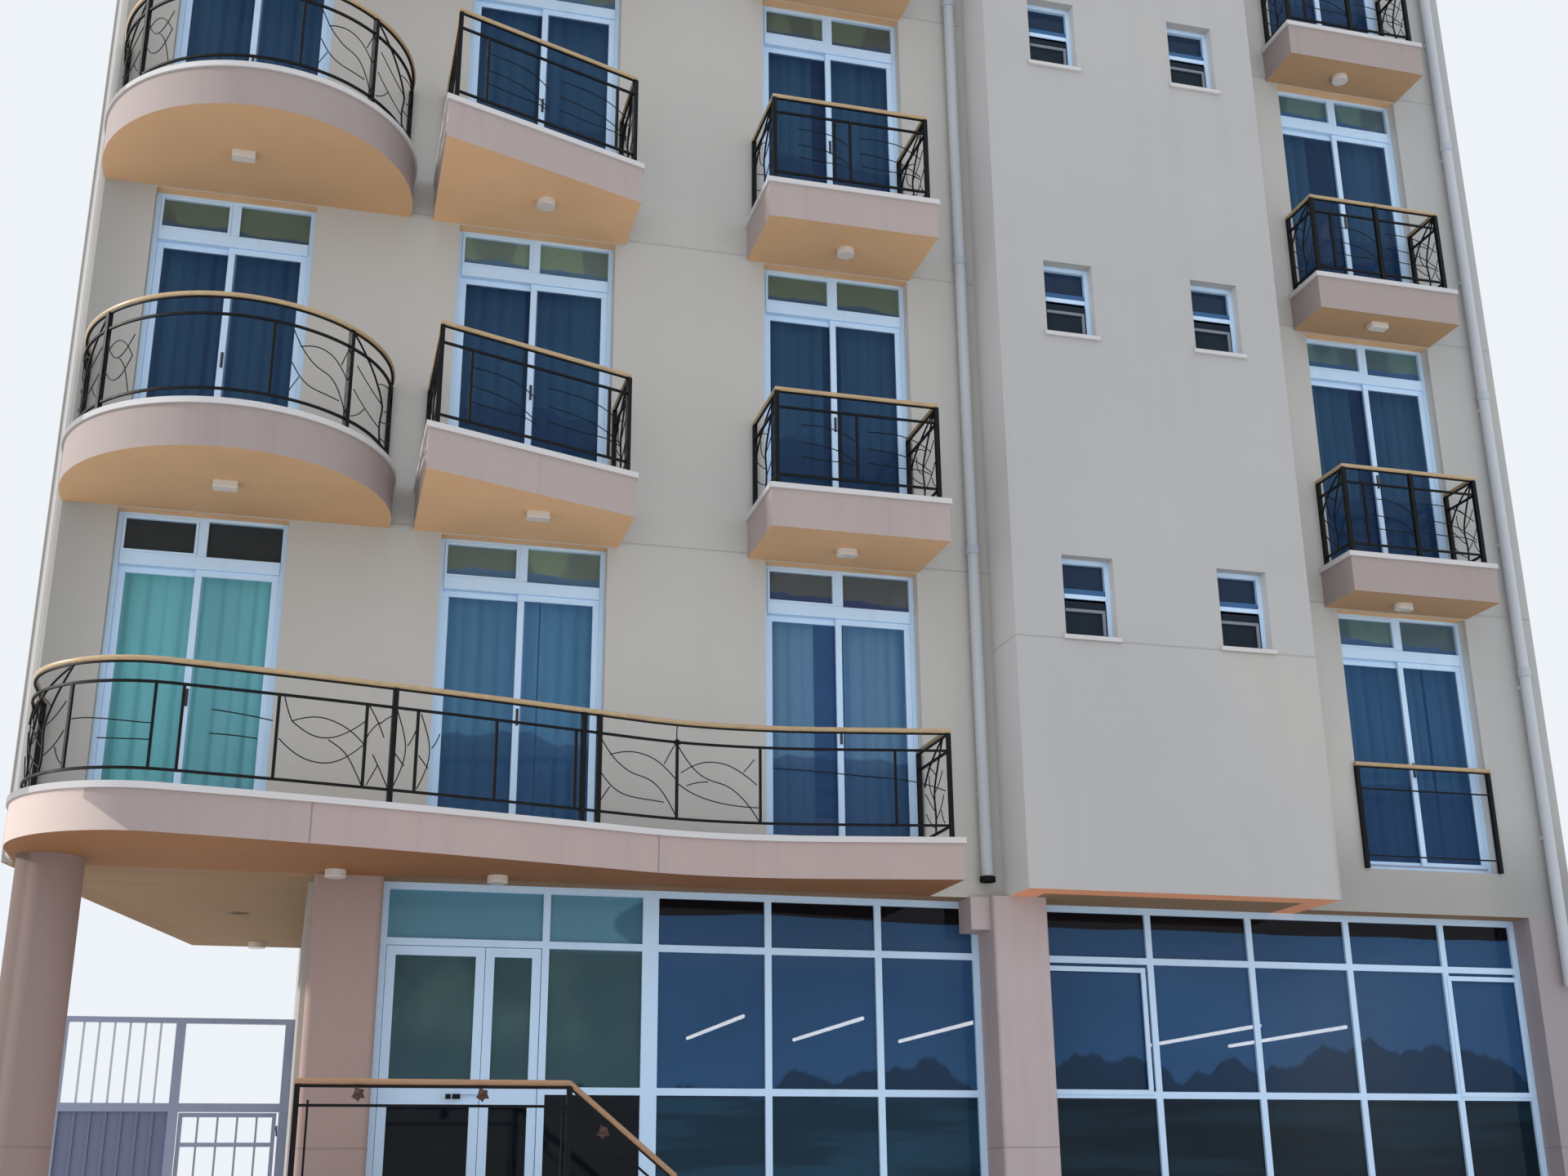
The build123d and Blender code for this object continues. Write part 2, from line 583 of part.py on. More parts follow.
def top_glass(x, width, rail, top):
    """The two panes of the top light."""
    middle = x + width / 2
    y = FRAME_RECESS + (FRAME_DEPTH - GLASS) / 2
    sides = [(x + FRAME_BAR, middle - FRAME_BAR / 2), (middle + FRAME_BAR / 2, x + width - FRAME_BAR)]
    return [block(a, b, y, y + GLASS, rail + FRAME_BAR, top) for a, b in sides]


def sash(x0, x1, track, z0, z1):
    """A sliding sash on its track, with its pane."""
    y = FRAME_RECESS + track
    frame = ring_frame(x0, x1, y, y + SASH_DEPTH, z0, z1, SASH_BAR)
    inside = y + (SASH_DEPTH - GLASS) / 2
    pane = block(x0 + SASH_BAR, x1 - SASH_BAR, inside, inside + GLASS, z0 + SASH_BAR, z1 - SASH_BAR)
    return frame, pane


frames = []
sashes = []
panes = []
curtains = []
for x, w in DOORS:
    for f in FLOORS:
        rail = f + DOOR_HEIGHT - TRANSOM_LIGHT - 2 * FRAME_BAR
        middle = x + w / 2
        frames.append(door_frame(x, w, f, rail))
        panes += top_glass(x, w, rail, f + DOOR_HEIGHT - FRAME_BAR)
        left_sash = sash(x + FRAME_BAR, middle + SASH_OVERLAP / 2, BACK_TRACK, f + FRAME_BAR, rail)
        right_sash = sash(middle - SASH_OVERLAP / 2, x + w - FRAME_BAR, FRONT_TRACK, f + FRAME_BAR, rail)
        sashes += [left_sash[0], right_sash[0]]
        panes += [left_sash[1], right_sash[1]]
        ceiling = f + STOREY - UPPER_SLAB - CURTAIN_GAP
        curtains.append(block(x - CURTAIN_LAP, x + w + CURTAIN_LAP, WALL, WALL + CURTAIN, f, ceiling))
node("balcony_door_frames", *frames)
node("sliding_sashes", *sashes)
node("balcony_door_glass", *panes)
node("curtains", *curtains)


# Small and plain windows
def window(x, z, width, height, bar, upright):
    """Frame and glass of a window in a wall along X, divided by one bar that stands or lies."""
    y0 = FRAME_RECESS
    y1 = FRAME_RECESS + FRAME_DEPTH
    y_glass = FRAME_RECESS + FRAME_DEPTH / 2
    x_mid = x + width / 2
    z_mid = z + height / 2
    frame = ring_frame(x, x + width, y0, y1, z, z + height, bar)
    if upright:
        frame = frame + block(x_mid - bar / 2, x_mid + bar / 2, y0, y_glass, z + bar, z + height - bar)
    else:
        frame = frame + block(x + bar, x + width - bar, y0, y_glass, z_mid - bar / 2, z_mid + bar / 2)
    glass = block(x + bar, x + width - bar, y_glass, y_glass + GLASS, z + bar, z + height - bar)
    return frame, glass


def sill(x, z, width):
    """Thin projecting sill under a window, against the wall face at y = 0."""
    return block(x - SILL_OUT, x + width + SILL_OUT, -SILL_OUT, 0, z - SILL_THICK, z)


bay_face = Pos(0, -BAY_OUT, 0)
back_face = Pos(0, DEPTH, 0)
side_face = Pos(FRONT_WIDTH, 0, 0) * Rot(0, 0, 90)
small_windows = []
sills = []
for face, places in ((bay_face, bath_columns), (side_face, side_rows)):
    for x in places:
        for f in FLOORS:
            pieces = window(x, f + BATH_SILL, BATH_WIDTH, BATH_HEIGHT, BATH_FRAME, False)
            small_windows.append([face * piece for piece in pieces])
            sills.append(face * sill(x, f + BATH_SILL, BATH_WIDTH))
node("small_window_frames", *[frame for frame, glass in small_windows])
node("small_window_glass", *[glass for frame, glass in small_windows])
rear_windows = []
for x in plain_columns:
    for f in REAR_FLOORS:
        pieces = window(x, f + PLAIN_SILL, PLAIN_WIDTH, PLAIN_HEIGHT, FRAME_BAR, True)
        rear_windows.append([back_face * mirror(piece, Plane.XZ) for piece in pieces])
        sills.append(back_face * mirror(sill(x, f + PLAIN_SILL, PLAIN_WIDTH), Plane.XZ))
node("rear_window_frames", *[frame for frame, glass in rear_windows])
node("rear_window_glass", *[glass for frame, glass in rear_windows])
node("window_sills", *sills)

# Ground-storey glazing
glazing_back = SHOPFRONT_Y + SHOPFRONT_DEPTH
glazing_middle = SHOPFRONT_Y + SHOPFRONT_DEPTH / 2
glazing_top = SOFFIT - SHOPFRONT_BAR
glazing_foot = GROUND_FLOOR + SHOPFRONT_BAR


def shopfront(x0, x1, uprights, door_right=None):
    """Glazing grid between two piers; uprights are (left edge, width), a door bay may start it."""
    bar = SHOPFRONT_BAR
    front = SHOPFRONT_Y
    body = ring_frame(x0, x1, front, glazing_back, GROUND_FLOOR, SOFFIT, bar)
    for x, w in uprights:
        body = body + block(x, x + w, front, glazing_middle, glazing_foot, glazing_top)
    body = body + block(x0 + bar, x1 - bar, front, glazing_middle, UPPER_RAIL, UPPER_RAIL + bar)
    lower_left = (door_right or x0) + bar
    body = body + block(lower_left, x1 - bar, front, glazing_middle, LOWER_RAIL, LOWER_RAIL + bar)
    if door_right:
        body = body - block(x0 + bar, door_right, front, glazing_back, GROUND_FLOOR, UPPER_RAIL)
        body = body + block(door_right, door_right + bar, front, glazing_back, GROUND_FLOOR, UPPER_RAIL)
    return body


def knuckle(x, y, z, flap_end, flap_y):
    """Half of a hinge: a barrel on the axis and a flap that reaches its frame or leaf."""
    barrel = Pos(x, y, z) * Cylinder(KNUCKLE_RADIUS, KNUCKLE_LENGTH, align=on_ground)
    flap = block(min(x, flap_end), max(x, flap_end), min(y, flap_y), max(y, flap_y), z, z + KNUCKLE_LENGTH)
    return barrel + flap


def hinge_pair(x, y, levels, fixed_end, fixed_y, moving_end, moving_y):
    """Fixed lower halves and moving upper halves of the hinges on one vertical axis."""
    lift = KNUCKLE_LENGTH + KNUCKLE_GAP
    fixed = [knuckle(x, y, z, fixed_end, fixed_y) for z in levels]
    moving = [knuckle(x, y, z + lift, moving_end, moving_y) for z in levels]
    return fixed, moving


left_bars = [(DOOR_BAY_RIGHT, SHOPFRONT_BAR), (THICK_BAR_X, THICK_BAR)]
first_bar = THICK_BAR_X + THICK_BAR + LEFT_FIRST_PANE
left_bars += [(first_bar, SHOPFRONT_BAR), (first_bar + LEFT_PANE_STEP, SHOPFRONT_BAR)]
right_start = MIDDLE_PIER_END + RIGHT_FIRST_PANE
right_bars = [(right_start + RIGHT_PANE_STEP * n, SHOPFRONT_BAR) for n in range(RIGHT_BARS)]
door_axis_y = glazing_back + KNUCKLE_RADIUS + DOOR_KNUCKLE_CLEAR
leaf_back = glazing_back - LEAF_GAP
leaf_front = leaf_back - LEAF
door_left = GLAZING_LEFT + SHOPFRONT_BAR
wide_axis = door_left + LEAF_GAP / 2
narrow_axis = DOOR_BAY_RIGHT - LEAF_GAP / 2
wide_fixed, wide_moving = hinge_pair(
    wide_axis, door_axis_y, DOOR_HINGES, wide_axis - KNUCKLE_FLAP, glazing_back, wide_axis + KNUCKLE_FLAP, leaf_back
)
narrow_fixed, narrow_moving = hinge_pair(
    narrow_axis, door_axis_y, DOOR_HINGES, narrow_axis + KNUCKLE_FLAP, glazing_back, narrow_axis - KNUCKLE_FLAP, leaf_back
)
left_frame = shopfront(GLAZING_LEFT, MIDDLE_PIER_X, left_bars, DOOR_BAY_RIGHT)
node("left_shopfront_frame", left_frame + (wide_fixed + narrow_fixed))
node("right_shopfront_frame", shopfront(MIDDLE_PIER_END, RIGHT_PIER_X, right_bars))
pane_y = (glazing_middle, glazing_middle + GLASS)
over_door = UPPER_RAIL + SHOPFRONT_BAR / 2
left_pane = DOOR_BAY_RIGHT + SHOPFRONT_BAR
right_pane = MIDDLE_PIER_END + SHOPFRONT_BAR
node(
    "shopfront_glass",
    block(door_left, DOOR_BAY_RIGHT, *pane_y, over_door, glazing_top),
    block(left_pane, MIDDLE_PIER_X - SHOPFRONT_BAR, *pane_y, glazing_foot, glazing_top),
    block(right_pane, RIGHT_PIER_X - SHOPFRONT_BAR, *pane_y, glazing_foot, glazing_top),
)

# Entrance doors, hung at the outer jambs, opening inwards
leaf_foot = GROUND_FLOOR + LEAF_GAP
leaf_top = UPPER_RAIL - LEAF_GAP


def leaf(x0, x1):
    """Glazed leaf with a deep lock rail."""
    a = x0 + LEAF_STILE
    b = x1 - LEAF_STILE
    body = block(x0, x1, leaf_front, leaf_back, leaf_foot, leaf_top)
    body = body - block(a, b, leaf_front, leaf_back, leaf_foot + LEAF_STILE, LEAF_MID_RAIL_LOW)
    return body - block(a, b, leaf_front, leaf_back, LEAF_MID_RAIL_HIGH, leaf_top - LEAF_STILE)


def lever_handles(x):
    """A lever on each face of the leaf, pointing away from its free edge."""
    z = (LEAF_MID_RAIL_LOW + LEAF_MID_RAIL_HIGH) / 2
    end = x + HANDLE_THICK
    outside = leaf_front - HANDLE_OUT
    inside = leaf_back + HANDLE_OUT
    levels = (z, z + HANDLE_THICK)
    stems = block(x, end, outside, leaf_front, *levels) + block(x, end, leaf_back, inside, *levels)
    grips = [
        block(x - HANDLE_LENGTH, end, outside, outside + HANDLE_THICK, *levels),
        block(x - HANDLE_LENGTH, end, inside - HANDLE_THICK, inside, *levels),
    ]
    return stems.solids() + grips


def leaf_glass(x0, x1):
    """The two panes of a leaf."""
    y = (leaf_front + leaf_back) / 2
    a = x0 + LEAF_STILE
    b = x1 - LEAF_STILE
    lower = block(a, b, y - GLASS / 2, y + GLASS / 2, leaf_foot + LEAF_STILE, LEAF_MID_RAIL_LOW)
    higher = block(a, b, y - GLASS / 2, y + GLASS / 2, LEAF_MID_RAIL_HIGH, leaf_top - LEAF_STILE)
    return [lower, higher]


wide_x0 = door_left + LEAF_GAP
narrow_x1 = DOOR_BAY_RIGHT - LEAF_GAP
wide_x1 = wide_x0 + (narrow_x1 - wide_x0 - LEAF_GAP) * WIDE_LEAF_SHARE
narrow_x0 = wide_x1 + LEAF_GAP
node("wide_door_leaf", leaf(wide_x0, wide_x1) + (wide_moving + lever_handles(wide_x1 - LEAF_STILE / 2)))
node("wide_door_glass", *leaf_glass(wide_x0, wide_x1))
node("narrow_door_leaf", leaf(narrow_x0, narrow_x1) + narrow_moving)
node("narrow_door_glass", *leaf_glass(narrow_x0, narrow_x1))


# Entrance railing: along the platform front, then down beside the steps
def entrance_rail():
    """The entrance railing's iron and its round wooden rail."""
    y = -PLATFORM_OUT + POST
    left = BODY_LEFT + POST / 2
    head = PLATFORM_RIGHT - POST
    foot = PLATFORM_RIGHT + GOING * STEP_RAIL_END + GOING / 2
    foot_z = GROUND_FLOOR - RISE * (STEP_RAIL_END + 1)
    drop = (foot - head) * RISE / GOING
    rail_z = GROUND_FLOOR + RAIL_TOP - HANDRAIL_RADIUS
    top = rail_z - HANDRAIL_RADIUS
    side = (y - POST / 2, y + POST / 2)
    iron = block(foot - POST / 2, foot + POST / 2, *side, foot_z, rail_z - drop)
    for x in (left, head):
        iron = iron + block(x - POST / 2, x + POST / 2, *side, GROUND_FLOOR, top)
    for z in (GROUND_FLOOR + BOTTOM_BAR_HEIGHT, GROUND_FLOOR + MID_BAR_HEIGHT, top - BAR):
        flat = make_face(Polyline((left, z), (head, z), (head, z + BAR), (left, z + BAR), close=True))
        slope = make_face(Polyline((head, z), (foot, z - drop), (foot, z - drop + BAR), (head, z + BAR), close=True))
        for face in (flat, slope):
            iron = iron + Pos(0, y + BAR / 2, 0) * (Plane.XZ * extrude(face, amount=BAR))
    corner_points = [(left - POST / 2, y, rail_z), (head, y, rail_z), (foot, y, rail_z - drop)]
    path = Wire(Polyline(corner_points).edges())
    start = Plane(origin=path @ 0, x_dir=(0, 0, 1), z_dir=path % 0)
    wood = sweep(start * Circle(HANDRAIL_RADIUS), path=path, transition=Transition.RIGHT)
    return iron - wood, wood


entrance_iron, entrance_wood = entrance_rail()
node("entrance_railing", entrance_iron)
node("entrance_handrail", entrance_wood)

# Gate across the passage: posts and rails, a fixed part on the left, a leaf on the right
gate_y0 = GATE_Y - GATE_POST / 2
gate_y1 = GATE_Y + GATE_POST / 2
gate_right = BODY_LEFT - GATE_POST
gate_middle_end = GATE_MIDDLE + GATE_POST
gate_axis_x = gate_right - KNUCKLE_RADIUS - GATE_KNUCKLE_CLEAR
gate_axis_y = GATE_Y + GATE_LEAF / 2 + KNUCKLE_RADIUS
gate_fixed, gate_moving = hinge_pair(
    gate_axis_x, gate_axis_y, GATE_HINGES, gate_right, gate_axis_y - KNUCKLE_RADIUS / 2,
    gate_axis_x - KNUCKLE_FLAP, GATE_Y + GATE_LEAF / 2,
)


def upright_bars(x0, x1, count, z0, z1):
    """Evenly spaced square bars between two posts."""
    pitch = (x1 - x0) / (count + 1)
    half = GATE_BAR / 2
    places = [x0 + pitch * (n + 1) for n in range(count)]
    return [block(x - half, x + half, GATE_Y - half, GATE_Y + half, z0, z1) for x in places]


def gate_posts_and_rails():
    """Posts, top rail, transom and foot rail."""
    gate = None
    for x in (GATE_LEFT, GATE_MIDDLE, gate_right):
        post = block(x, x + GATE_POST, gate_y0, gate_y1, 0, GATE_TOP)
        gate = gate + post if gate else post
    gate = gate + block(GATE_LEFT, BODY_LEFT, gate_y0, gate_y1, GATE_TOP - GATE_RAIL, GATE_TOP)
    gate = gate + block(GATE_LEFT, BODY_LEFT, gate_y0, gate_y1, GATE_TRANSOM, GATE_TRANSOM + GATE_TRANSOM_HEIGHT)
    return gate + block(GATE_LEFT, gate_middle_end, gate_y0, gate_y1, GATE_FOOT, GATE_FOOT + GATE_RAIL)


def ribbed_sheet(x0, x1, z0, z1):
    """Thin sheet with upright ribs on its street side."""
    sheet = block(x0, x1, GATE_Y - GATE_SHEET / 2, GATE_Y + GATE_SHEET / 2, z0, z1)
    pitch = (x1 - x0) / (GATE_BARS + 1)
    for n in range(GATE_BARS):
        x = x0 + pitch * (n + 1) - GATE_RIB / 2
        sheet = sheet + block(x, x + GATE_RIB, GATE_Y - GATE_RIB, GATE_Y + GATE_SHEET / 2, z0, z1)
    return sheet


def barred_leaf(x0, x1, z0, z1):
    """Gate leaf: a frame, a rail and upright bars."""
    y0 = GATE_Y - GATE_LEAF / 2
    y1 = GATE_Y + GATE_LEAF / 2
    body = ring_frame(x0, x1, y0, y1, z0, z1, GATE_LEAF)
    body = body + block(x0, x1, y0, y1, GATE_LEAF_RAIL, GATE_LEAF_RAIL + GATE_LEAF)
    return body + upright_bars(x0, x1, GATE_LEAF_BARS, z0 + GATE_LEAF, z1 - GATE_LEAF)


panel_x0 = GATE_LEFT + GATE_POST
node("gate_frame", gate_posts_and_rails() + gate_fixed)
transom_top = GATE_TRANSOM + GATE_TRANSOM_HEIGHT
node("gate_bars", *upright_bars(panel_x0, GATE_MIDDLE, GATE_BARS, transom_top, GATE_TOP - GATE_RAIL))
node("gate_sheet", ribbed_sheet(panel_x0, GATE_MIDDLE, GATE_FOOT + GATE_RAIL, GATE_TRANSOM))
gate_leaf_right = gate_axis_x - GATE_LEAF_GAP
gate_leaf = barred_leaf(gate_middle_end + GATE_LEAF_GAP, gate_leaf_right, GATE_FOOT, GATE_TRANSOM - GATE_LEAF_GAP)
node("gate_leaf", gate_leaf + gate_moving)


# Downpipes on their clips
def downpipe(x, end):
    """Round pipe with clips back to the wall."""
    body = Pos(x, -PIPE_OUT, end) * Cylinder(PIPE_RADIUS, WALL_TOP - end, align=on_ground)
    first = max(end, SOFFIT) + PIPE_CLIP_STEP / 2
    count = int((WALL_TOP - first) / PIPE_CLIP_STEP) + 1
    levels = [first + PIPE_CLIP_STEP * n for n in range(count)]
    return body + [block(x - PIPE_CLIP, x + PIPE_CLIP, -PIPE_OUT, 0, z, z + PIPE_CLIP) for z in levels]


bay_pipe = downpipe(BAY_LEFT - BAY_PIPE_GAP, BAY_PIPE_END)
corner_pipe = downpipe(FRONT_WIDTH - CORNER_PIPE_GAP, CORNER_PIPE_END)
node("downpipes", bay_pipe, corner_pipe)

# Origin: centre of the whole outline, on the ground
boxes = [shape.bounding_box() for shape in parts.values()]
left = min(b.min.X for b in boxes)
right = max(b.max.X for b in boxes)
front = min(b.min.Y for b in boxes)
back = max(b.max.Y for b in boxes)
centre = Pos(-(left + right) / 2, -(front + back) / 2, 0)
os.makedirs("parts", exist_ok=True)
for name, shape in parts.items():
    export_step(centre * shape, "parts/" + name + ".step")
print("door axes", [centre * Pos(x, door_axis_y, 0) for x in (wide_axis, narrow_axis)])
print("gate axis", centre * Pos(gate_axis_x, gate_axis_y, 0))
print("origin shift", centre.position, "size", right - left, back - front, max(b.max.Z for b in boxes))
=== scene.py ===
"""Looks of a hotel's street front: painted render, waved and square balconies with wrought-iron railings,
sliding doors with curtains, tinted shop glazing, an entrance landing and a gated side passage, around the
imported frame."""

import math

import bmesh
import bpy
from bpy.props import FloatProperty, FloatVectorProperty, PointerProperty
from mathutils import Matrix, Vector


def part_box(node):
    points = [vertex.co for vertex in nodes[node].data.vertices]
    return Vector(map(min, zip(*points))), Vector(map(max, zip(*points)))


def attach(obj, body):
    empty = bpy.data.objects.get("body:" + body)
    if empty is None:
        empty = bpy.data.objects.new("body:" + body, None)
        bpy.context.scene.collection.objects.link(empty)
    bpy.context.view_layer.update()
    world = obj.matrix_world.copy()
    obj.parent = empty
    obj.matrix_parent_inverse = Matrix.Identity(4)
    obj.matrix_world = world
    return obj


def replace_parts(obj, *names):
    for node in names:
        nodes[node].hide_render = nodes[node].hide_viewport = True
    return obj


bl_info = {
    "name": "Hotel front",
    "version": (1, 0, 0),
    "blender": (4, 5, 0),
    "location": "View3D > Sidebar > Hotel",
    "description": "Finishes and fittings of a hotel's street front",
    "category": "Object",
}

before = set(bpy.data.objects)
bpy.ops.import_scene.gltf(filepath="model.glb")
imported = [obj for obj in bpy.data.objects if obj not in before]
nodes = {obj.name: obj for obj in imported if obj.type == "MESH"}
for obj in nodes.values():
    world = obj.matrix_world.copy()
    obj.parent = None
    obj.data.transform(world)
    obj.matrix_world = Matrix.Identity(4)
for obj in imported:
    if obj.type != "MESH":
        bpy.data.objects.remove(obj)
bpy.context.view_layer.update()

# The street front's left corner, and the levels, in metres
LEFT, FACE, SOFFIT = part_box("front_wall_left")[0]
WALL_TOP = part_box("front_wall_left")[1].z
FIRST_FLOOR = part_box("first_floor_slab")[1].z
STOREY = 3.1
FLOORS = [FIRST_FLOOR + STOREY * n for n in range(4)]
COPING_TOP = -0.06

# Joint lines in the render: below an upper floor, above the bay's lowest floor, and above the ground on the
# piers
SLAB_LINE = 0.42
SILL_LINE = 1.89
PIER_LINE = 1.42

# Places along the front, counted right from its left corner: the doors with their widths, where finishes
# change, and the bay
DOORS = [(0.54, 1.40), (3.24, 1.48), (6.19, 1.48), (12.15, 1.48)]
FIRST_DOOR_END = 2.4
ENTRANCE_END = 5.2
SECOND_DOOR_END = 5.5
MIDDLE_PIER = 8.5
LAST_DOOR_START = 10.0
RIGHT_END = 11.5
bay_low, bay_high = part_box("bay_front_wall")
BAY_LEFT = bay_low.x - LEFT
BAY_RIGHT = bay_high.x - LEFT
BAY_OUT = FACE - bay_low.y

# Balcony doors: heights above the floor, widths of the bars, how far in from the facade they stand, how deep
# their parts are, and how far back each sash stands
DOOR_HEIGHT = 2.62
SASH_TOP = 2.15
TOP_LIGHT = 2.265
DOOR_BAR = 0.045
HEAD_BAR = 0.03
SASH_BAR = 0.058
VENT_BAR = 0.024
HALF_MULLION = 0.04
SASH_LAP = 0.036
DOOR_FACE = 0.11
DOOR_BACK = 0.19
SASH_DEPTH = 0.03
PANE = 0.008
BACK_SASH = 0.042
FRONT_SASH = 0.008
TRANSOM_PROUD = 0.012
VENT_PROUD = 0.01

# Railings: how far in from the slab's edge they stand, and heights above the coping
RAIL_INSET = 0.07
LOW_BAR = 0.115
MID_BAR = 0.772

# Bathroom windows: sill and head above the floor, and the meeting rail's height
BATH_SILL = 1.97
BATH_HEAD = 2.665
BATH_BAR = 0.045

# Shop glazing: the top of its lowest row, an opening frame's sill, head and bar, and a lamp's level
LOW_ROW = 1.85
CASEMENT_SILL = 1.88
CASEMENT_HEAD = 3.01
CASEMENT_BAR = 0.045
LAMP_LEVEL = 2.75

# Curtains: how far in from the facade and how high over the floor they hang, how far they and their rail pass
# the door's sides, the columns of a fold, and the rows
CURTAIN_LINE = 0.28
CURTAIN_FOOT = 0.02
CURTAIN_LAP = 0.04
RAIL_LAP = 0.06
FOLD_COLUMNS = 10
CURTAIN_ROWS = 8

# Eased edges, half a hairline joint, and the floor tiles' pitch
EDGE = 0.004
FINE_EDGE = 0.003
HAIRLINE = 0.006
TILE = 0.33


def at(x, y, z):
    """A place counted from the front's left corner: right, in from the facade, up from the ground."""
    return Vector((LEFT + x, FACE + y, z))


def linear(red, green, blue):
    """A colour written as on a screen, from 0 to 255, in linear light."""
    def curve(part):
        part = part / 255
        return part / 12.92 if part <= 0.04045 else ((part + 0.055) / 1.055) ** 2.4
    return (curve(red), curve(green), curve(blue), 1.0)


# Shader expressions
class Value:
    """A shader socket in an expression: numbers join by Math, colours and vectors by Vector Math nodes."""

    def __init__(self, paint, socket):
        self.paint = paint
        self.socket = socket

    def join(self, operation, first, second):
        """One node for two operands."""
        sides = [side.socket.type for side in (first, second) if isinstance(side, Value)]
        kind = "ShaderNodeVectorMath" if "VECTOR" in sides or "RGBA" in sides else "ShaderNodeMath"
        return self.paint.node(kind, {"operation": operation}, {0: first, 1: second})

    def __add__(self, other):
        return self.join("ADD", self, other)

    def __radd__(self, other):
        return self.join("ADD", other, self)

    def __sub__(self, other):
        return self.join("SUBTRACT", self, other)

    def __rsub__(self, other):
        return self.join("SUBTRACT", other, self)

    def __mul__(self, other):
        return self.join("MULTIPLY", self, other)

    def __rmul__(self, other):
        return self.join("MULTIPLY", other, self)

    def __gt__(self, other):
        return self.join("GREATER_THAN", self, other)

    def __lt__(self, other):
        return self.join("LESS_THAN", self, other)

    def __abs__(self):
        return self.join("ABSOLUTE", self, 0.0)


class Paint:
    """One material: the colour laid so far, and the nodes that vary it, its roughness and its relief."""

    def __init__(self, name, **sockets):
        self.material = bpy.data.materials.new(name)
        self.material.use_nodes = True
        self.tree = self.material.node_tree
        self.shader = self.tree.nodes["Principled BSDF"]
        for socket, number in sockets.items():
            self.set(socket, number)
        self.place = self.node("ShaderNodeTexCoord", output="Object")
        self.x = self.part(self.place, "X")
        self.y = self.part(self.place, "Y")
        self.z = self.part(self.place, "Z")
        self.tone = None

    def feed(self, socket, value):
        """Links a value to a socket, or sets a number or colour on it."""
        if isinstance(value, Value):
            self.tree.links.new(value.socket, socket)
        elif hasattr(socket.default_value, "__len__") and not hasattr(value, "__len__"):
            socket.default_value = [value] * len(socket.default_value)
        elif hasattr(socket.default_value, "__len__"):
            socket.default_value = value[:len(socket.default_value)]
        else:
            socket.default_value = value

    def node(self, kind, settings=None, sockets=None, output=0):
        """Any node: its type, settings, socket values or links, and the output that is wanted."""
        made = self.tree.nodes.new(kind)
        for key, value in (settings or {}).items():
            setattr(made, key, value)
        for key, value in (sockets or {}).items():
            self.feed(made.inputs[key], value)
        return Value(self, made.outputs[output])

    def set(self, socket, value):
        """Feeds one of the shader's own sockets; its name may have _ for a space."""
        self.feed(self.shader.inputs[socket.replace("_", " ")], value)

    def done(self, **sockets):
        """Feeds the colour laid so far, and other sockets, and returns the material."""
        self.set("Base Color", self.tone)
        for socket, value in sockets.items():
            self.set(socket, value)
        return self.material

    def mix(self, mask, first, second):
        """The first colour where the mask is 0, the second where it is 1."""
        return self.node("ShaderNodeMix", {"data_type": "RGBA"}, {0: mask, 6: first, 7: second}, 2)

    def coat(self, mask, colour):
        """Lays a colour over the paint where the mask is 1."""
        self.tone = self.mix(mask, self.tone, colour)

    def noise(self, scale, detail=3.0, stretch=(1, 1, 1), roughness=0.5):
        """Noise from 0 to 1; stretch multiplies the place before the scale does."""
        place = self.place * stretch
        return self.node("ShaderNodeTexNoise", {}, {"Vector": place, "Scale": scale, "Detail": detail,
                                                    "Roughness": roughness}, "Fac")

    def ramp(self, value, low, high):
        """A smooth step from 0 at low to 1 at high."""
        settings = {"interpolation_type": "SMOOTHSTEP"}
        return self.node("ShaderNodeMapRange", settings, {"Value": value, "From Min": low, "From Max": high})

    def streaks(self, across, along, detail=4.0, low=0.5, high=0.8):
        """Upright streaks: noise with its scale across and along them."""
        return self.ramp(self.noise(1.0, detail, (across, across, along)), low, high)

    def across(self, left, right):
        """A smooth step from 0 at one place along the front to 1 at another."""
        return self.ramp(self.x, LEFT + left, LEFT + right)

    def right_of(self, x):
        """1 right of a place along the front."""
        return self.x > LEFT + x

    def left_of(self, x):
        """1 left of a place along the front."""
        return self.x < LEFT + x

    def above_floor(self):
        """The height above the floor of the storey."""
        operands = {0: self.z - FLOORS[0], 1: STOREY}
        return self.node("ShaderNodeMath", {"operation": "FLOORED_MODULO"}, operands)

    def stripe(self, value, centre, half):
        """1 within half of the centre, falling to 0 just beyond."""
        return 1.0 - self.ramp(abs(value - centre), half, half * 1.5)

    def joints(self, value, pitch, half=0.004):
        """1 on narrow lines a pitch apart."""
        wave = self.node("ShaderNodeMath", {"operation": "PINGPONG"}, {0: value, 1: pitch / 2})
        return wave < half

    def part(self, vector, axis):
        """A vector's X, Y or Z."""
        return self.node("ShaderNodeSeparateXYZ", {}, {0: vector}, axis)

    def facing(self, axis):
        """How much the surface faces along X, Y or Z, from -1 to 1."""
        return self.part(self.node("ShaderNodeNewGeometry", output="Normal"), axis)

    def side(self, axis, way):
        """1 where the surface faces along an axis, the way of 1.0 or -1.0."""
        return self.ramp(self.facing(axis) * way, 0.4, 0.6)

    def relief(self, height, depth, strength=1.0):
        """Bump from a height between 0 and 1, over a depth in metres."""
        sockets = {"Height": height, "Distance": depth, "Strength": strength}
        self.set("Normal", self.node("ShaderNodeBump", {}, sockets))


def either(first, second):
    """1 where one mask or the other is 1."""
    return 1.0 - (1.0 - first) * (1.0 - second)


def shade(colour, factor):
    """A colour made darker or lighter."""
    return tuple(part * factor for part in colour[:3]) + (1.0,)


